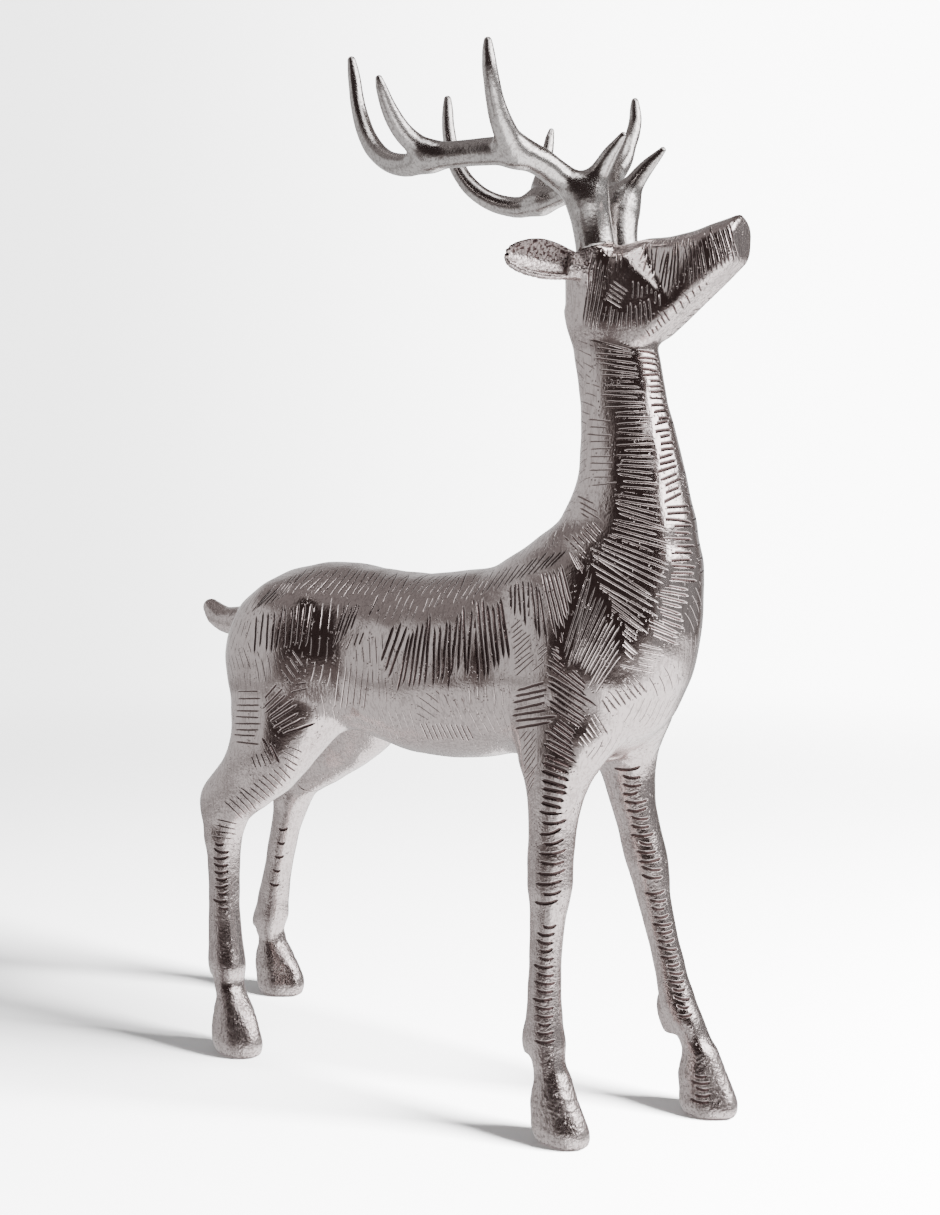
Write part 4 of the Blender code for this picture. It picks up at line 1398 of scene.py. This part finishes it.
        # Painted shade: above the crease and inside the hollow the ear's value climbs to 2.1, which
        # darkens the colour of its upper hollow.
        above = eased(-0.4, 0.8, ear_up - self.ear.crease_up)
        ear *= 1.0 + 1.1 * above * eased(-3.4, -2.4, ear_out)
        legs = 0.5 * eased(190.0, 165.0, z)
        hooves = 0.95 * eased(40.0, 30.0, z)
        belly = 0.55 * eased(-0.35, -0.75, out[:, 2]) * (z > 160.0)
        jaw = 0.8 * eased(-0.12, -0.40, out[:, 2]) * eased(372.0, 380.0, z)
        nape = 0.6 * eased(-0.15, -0.6, out[:, 0]) * eased(270.0, 300.0, z)
        back = 0.4 * eased(0.55, 0.85, out[:, 2]) * eased(320.0, 290.0, z)
        tail = 0.5 * eased(-128.0, -136.0, x)
        # Painted contact shadow: a band up to 2.2 along the foot of the soles, which darkens the
        # colour there.
        sole = 2.2 * eased(2.4, 0.8, z)
        return np.max([ear, legs, hooves, belly, jaw, nape, back, tail, sole, bare], axis=0)

    def build(self, material: bpy.types.Material) -> bpy.types.Object:
        """Meshes, chases and dresses the body.

        Args:
            material: The chased metal.

        Returns:
            The piece.
        """
        skin = Skin(self.form, self.low, self.high, self.step)
        for centre, size, depth in self.dents:
            skin.dent(centre, size, depth)
        skin.undulate(*self.wave, seed=3)
        height = skin.points[:, 2]
        gap = height.min()  # the soles' rounding leaves them this far above the floor
        drop = gap * eased(self.sole_height, gap, height)
        skin.points[:, 2] = np.maximum(height - drop, 0.0)
        skin.refresh()
        chasing = self.chase(skin)
        piece = mesh_piece("body_casting", skin, material)
        for name, places in zip(STROKES, chasing.place):
            place = piece.data.attributes.new(name, "FLOAT_VECTOR", "CORNER")
            place.data.foreach_set("vector", places.ravel())
        # Rawness per point; values above 1 are painted shade at the soles and in the ear's hollow.
        raw_and_shade = piece.data.attributes.new("raw_and_shade", "FLOAT", "POINT")
        raw_and_shade.data.foreach_set("value", self.rawness_and_shade(skin, chasing.reach[0]))
        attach(piece, "root")
        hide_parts("body")
        LOG.info("body: %d quads, %d strokes", len(skin.quads), chasing.count)
        return piece


@dataclass
class Antler:
    """One antler casting: a stem on the crown, a brow tine, and a beam with its tines."""

    left: bool
    stem: Table = (
        (103.8, 11.2, 417.0, 9.6), (103.4, 11.2, 423.0, 9.3), (102.4, 12.0, 431.4, 9.2),
        (101.3, 14.0, 441.3, 9.5), (100.4, 16.0, 448.5, 8.6),
    )
    brow: Table = (
        (102.6, 16.0, 448.0, 6.9), (106.2, 16.5, 454.6, 5.5), (110.0, 17.0, 459.8, 4.4),
        (114.4, 18.0, 464.9, 3.5), (118.1, 18.7, 468.4, 2.6), (121.7, 19.4, 471.9, 1.6),
    )
    beam: Table = (
        (100.6, 16.0, 446.5, 7.8), (96.2, 19.0, 451.5, 6.9), (90.7, 26.0, 457.3, 6.4),
        (86.2, 34.5, 462.3, 6.5), (79.6, 42.0, 465.4, 6.6), (69.1, 46.0, 466.6, 6.3),
        (55.2, 47.5, 467.0, 6.0), (44.0, 48.5, 467.1, 6.0), (33.9, 49.5, 467.3, 5.8),
    )
    tall_tine: Table = (
        (79.2, 42.0, 465.9, 6.4), (79.5, 51.0, 472.2, 5.6), (80.0, 57.5, 478.8, 4.8),
        (80.2, 61.5, 485.4, 4.1), (80.9, 65.0, 492.3, 3.7), (81.1, 67.2, 499.5, 3.3),
        (80.7, 67.5, 505.0, 2.7), (80.5, 67.5, 508.7, 1.9),
    )
    inner_tine: Table = (
        (38.0, 49.0, 467.6, 5.6), (31.9, 54.4, 472.2, 5.2), (28.0, 60.9, 478.1, 4.6),
        (26.4, 66.0, 484.5, 4.0), (25.8, 70.0, 490.3, 3.3), (25.8, 73.2, 495.4, 2.6),
        (25.9, 75.0, 498.8, 1.7),
    )
    outer_tine: Table = (
        (34.0, 49.5, 466.4, 5.6), (23.2, 48.5, 465.0, 5.4), (13.3, 46.5, 466.9, 5.1),
        (3.5, 43.5, 471.4, 4.8), (-4.4, 41.5, 478.1, 4.6), (-10.5, 40.0, 486.9, 4.3),
        (-14.7, 39.0, 497.1, 3.8), (-16.5, 39.0, 506.4, 3.4), (-17.3, 39.8, 514.9, 2.9),
        (-17.9, 40.5, 520.5, 2.1),
    )
    web: float = 5.0
    sag: float = 6.5  # how much lower the left beam hangs behind
    sag_span: tuple[float, float] = (70.0, 36.0)
    sag_tip: tuple[float, float] = (478.0, 506.0)
    inner_kept: float = -0.5
    outer_kept: float = 0.45
    crown: Crown = field(default_factory=Crown)
    wave: tuple[float, float] = (0.09, 12.0)
    low: Point = (-26.0, -4.0, 410.0)
    high: Point = (130.0, 82.0, 528.0)
    step: float = 1.0

    def form(self, x: Array, y: Array, z: Array) -> Array:
        """The antler's field at +Y: its branches joined with a small web, the foot cut flat.

        Args:
            x: Places along x, in mm.
            y: Distance from the middle on the antler's own side.
            z: Places along z.

        Returns:
            The field, negative inside.
        """
        antler = branch_field(x, y, z, self.stem, 12)
        high = eased(*self.sag_tip, z)
        sag = self.sag * eased(*self.sag_span, x) * self.left
        for branch, kept in ((self.beam, 1.0), (self.brow, 1.0), (self.tall_tine, 1.0),
                             (self.inner_tine, self.inner_kept), (self.outer_tine, self.outer_kept)):
            hang = sag * (1.0 + (kept - 1.0) * high)
            antler = smooth_union(antler, branch_field(x, y, z + hang, branch), self.web)
        return smooth_cut(antler, self.crown.gap - self.crown.height(x, z), 0.5)

    def build(self, material: bpy.types.Material) -> bpy.types.Object:
        """Meshes and dresses the antler.

        Args:
            material: The sand-blasted metal.

        Returns:
            The piece.
        """
        skin = Skin(self.form, self.low, self.high, self.step)
        skin.undulate(*self.wave, seed=5 + self.left)
        if not self.left:
            skin.points = skin.points * (1.0, -1.0, 1.0)
            skin.quads = skin.quads[:, ::-1]
        name = "antler_left" if self.left else "antler_right"
        piece = mesh_piece(name + "_casting", skin, material)
        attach(piece, "root")
        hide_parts(name)
        LOG.info("%s: %d quads", name, len(skin.quads))
        return piece


@dataclass(frozen=True)
class SoftBox:
    """A window of the room that the metal mirrors, in degrees round and above the deer.

    The bearing is 0 at the camera and grows to the picture's right.
    """

    bearing: tuple[float, float]
    height: tuple[float, float]
    light: float
    soft: float = 5.0
    tint: tuple[float, float, float] = (1.0, 1.0, 1.0)


@dataclass
class Studio:
    """A pale floor that fades into a white room, a soft key light and the camera."""

    sight: Sight = Sight()
    backdrop: tuple[float, float] = (4.6, 13.0)  # radiance at the picture's left and right
    ambient: float = 0.55
    key_place: Point = (1.22, 0.25, 0.85)
    key_size: float = 0.46
    key_power: float = 400.0
    unlit: Point = (0.16, 0.14, 0.135)  # what the metal mirrors between the boxes
    boxes: tuple[SoftBox, ...] = (
        SoftBox((-200.0, -60.0), (32.0, 95.0), 0.27, 12.0, (1.0, 0.93, 0.92)),
        SoftBox((-200.0, -71.0), (-14.0, 28.0), 0.70, 7.0),
        SoftBox((-200.0, 2.0), (-95.0, -19.0), 0.84, 6.0),
        SoftBox((-2.0, 200.0), (-95.0, -21.0), 2.6, 8.0),
        SoftBox((-60.0, -42.0), (-42.0, 0.0), 0.16, 5.0, (1.0, 0.85, 0.83)),
        SoftBox((-62.0, 27.0), (-6.0, 62.0), 0.036, 5.0, (1.0, 0.70, 0.68)),
        SoftBox((24.0, 38.0), (0.0, 42.0), 0.14, 4.0, (1.0, 0.82, 0.80)),
        SoftBox((32.0, 125.0), (-16.0, 14.0), 0.30, 5.0),
        SoftBox((10.0, 60.0), (34.0, 67.0), 2.2, 4.0),
        SoftBox((39.0, 106.0), (15.0, 42.0), 7.0, 2.5),
        SoftBox((-50.0, 80.0), (66.0, 95.0), 3.2, 4.0),
        SoftBox((140.0, 200.0), (-20.0, 32.0), 0.7, 9.0),
        SoftBox((-200.0, -150.0), (-14.0, 12.0), 1.0, 6.0),
    )

    def camera(self) -> None:
        """Places the camera at the photograph's standpoint, level and without shift."""
        data = bpy.data.cameras.new("camera")
        data.sensor_fit = "AUTO"
        data.sensor_width = 36.0
        data.lens = self.sight.focal * data.sensor_width / (2.0 * max(self.sight.middle))
        camera = placed("camera", data)
        camera.location = (np.array(self.sight.eye) - (FRAME_SHIFT, 0.0, 0.0)) * MM
        camera.rotation_euler = Vector(-self.sight.axes()[1]).to_track_quat("Z", "Y").to_euler()
        bpy.context.scene.camera = camera

    def floor(self) -> None:
        """A plain pale floor that fades out with distance; the metal mirrors the room instead."""
        mesh = bpy.data.meshes.new("floor")
        size, below = 3.0, -0.0004
        corners = [(a * size, b * size, below) for a, b in ((-1, -1), (1, -1), (1, 1), (-1, 1))]
        mesh.from_pydata(corners, [], [(0, 1, 2, 3)])
        mesh.update()
        material = bpy.data.materials.new("pale_floor")
        material.use_nodes = True
        wire = Wiring(material.node_tree)
        reach = wire.vector("LENGTH", wire.node("ShaderNodeTexCoord", {})["Object"])["Value"]
        wire.feed(wire.tree.nodes["Principled BSDF"], {
            "Base Color": (0.92, 0.915, 0.92, 1.0),
            "Roughness": 0.8,
            "Specular IOR Level": 0.0,
            "Alpha": wire.ramp(reach, 1.5, 0.45),
        })
        mesh.materials.append(material)
        floor = placed("floor", mesh)
        floor.visible_glossy = False

    def lamp(self, name: str, place: Point, size: float, power: float) -> None:
        """A soft square light that looks at the deer.

        Args:
            name: Its name.
            place: Where it hangs, in metres.
            size: Its width.
            power: Its power, in watts.
        """
        data = bpy.data.lights.new(name, "AREA")
        data.shape, data.size, data.energy = "SQUARE", size, power
        lamp = placed(name, data)
        lamp.location = place
        from_deer = Vector(place) - Vector((0.0, 0.0, 0.1))
        lamp.rotation_euler = from_deer.to_track_quat("Z", "Y").to_euler()
        lamp.visible_glossy = False

    def room(self) -> None:
        """The surround: plain white to the eye, and a studio with soft boxes to the metal.

        A soft box is a smooth window of bearing times one of height; each one covers those before.
        """
        world = bpy.data.worlds.new("room")
        world.use_nodes = True
        wire = Wiring(world.node_tree)
        wire.tree.nodes.clear()
        way = wire.node("ShaderNodeTexCoord", {})["Generated"]
        across, beside = math.cos(self.sight.turn), math.sin(self.sight.turn)
        axes = ((across, beside, 0.0), (beside, -across, 0.0), (0.0, 0.0, 1.0))
        right, back, up = (wire.vector("DOT_PRODUCT", way, axis)["Value"] for axis in axes)
        bearing = wire.math("DEGREES", wire.math("ARCTAN2", right, back))
        height = wire.math("DEGREES", wire.math("ARCSINE", up))
        colour: Value = (*self.unlit, 1.0)
        for box in self.boxes:
            windows = []
            for value, (low, high) in ((bearing, box.bearing), (height, box.height)):
                windows.append(wire.ramp(value, low - box.soft, low + box.soft))
                windows.append(wire.ramp(value, high + box.soft, high - box.soft))
            lit = (*(box.light * share for share in box.tint), 1.0)
            colour = wire.mix(wire.times(*windows), colour, lit)
        fade = wire.ramp(right, -0.32, 0.30, *self.backdrop)
        plain, mirrored, seen = (wire.node("ShaderNodeBackground", inputs)[0] for inputs in (
            {"Strength": self.ambient}, {"Color": colour}, {"Strength": fade}))
        path = wire.node("ShaderNodeLightPath", {})
        for rays, instead in (("Is Glossy Ray", mirrored), ("Is Camera Ray", seen)):
            plain = wire.node("ShaderNodeMixShader", {0: path[rays], 1: plain, 2: instead})[0]
        wire.node("ShaderNodeOutputWorld", {"Surface": plain})
        bpy.context.scene.world = world

    def build(self) -> None:
        """Sets up the whole studio."""
        self.camera()
        self.floor()
        self.room()
        self.lamp("key", self.key_place, self.key_size, self.key_power)


def main() -> None:
    """Builds the castings and the studio in order, and reports each piece."""
    logging.basicConfig(level=logging.INFO, format="%(message)s")
    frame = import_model()
    LOG.info("solids: %s", ", ".join(sorted(frame["nodes"])))
    stroke, casting = stroke_group(), casting_group()
    polished = CastMetal(Finish.POLISHED, (0.735, 0.645, 0.63), (0.12, 0.082, 0.08), (0.12, 0.28),
                         0.26, 0.8, None, 0.36).build(stroke, casting)
    satin = CastMetal(Finish.SATIN, (0.68, 0.64, 0.625), (0.20, 0.165, 0.16), (0.17, 0.24),
                      0.10, 0.1, 0.8).build(stroke, casting)
    Body().build(polished)
    for left in (False, True):
        Antler(left).build(satin)
    Studio().build()


if __name__ == "__main__":
    main()
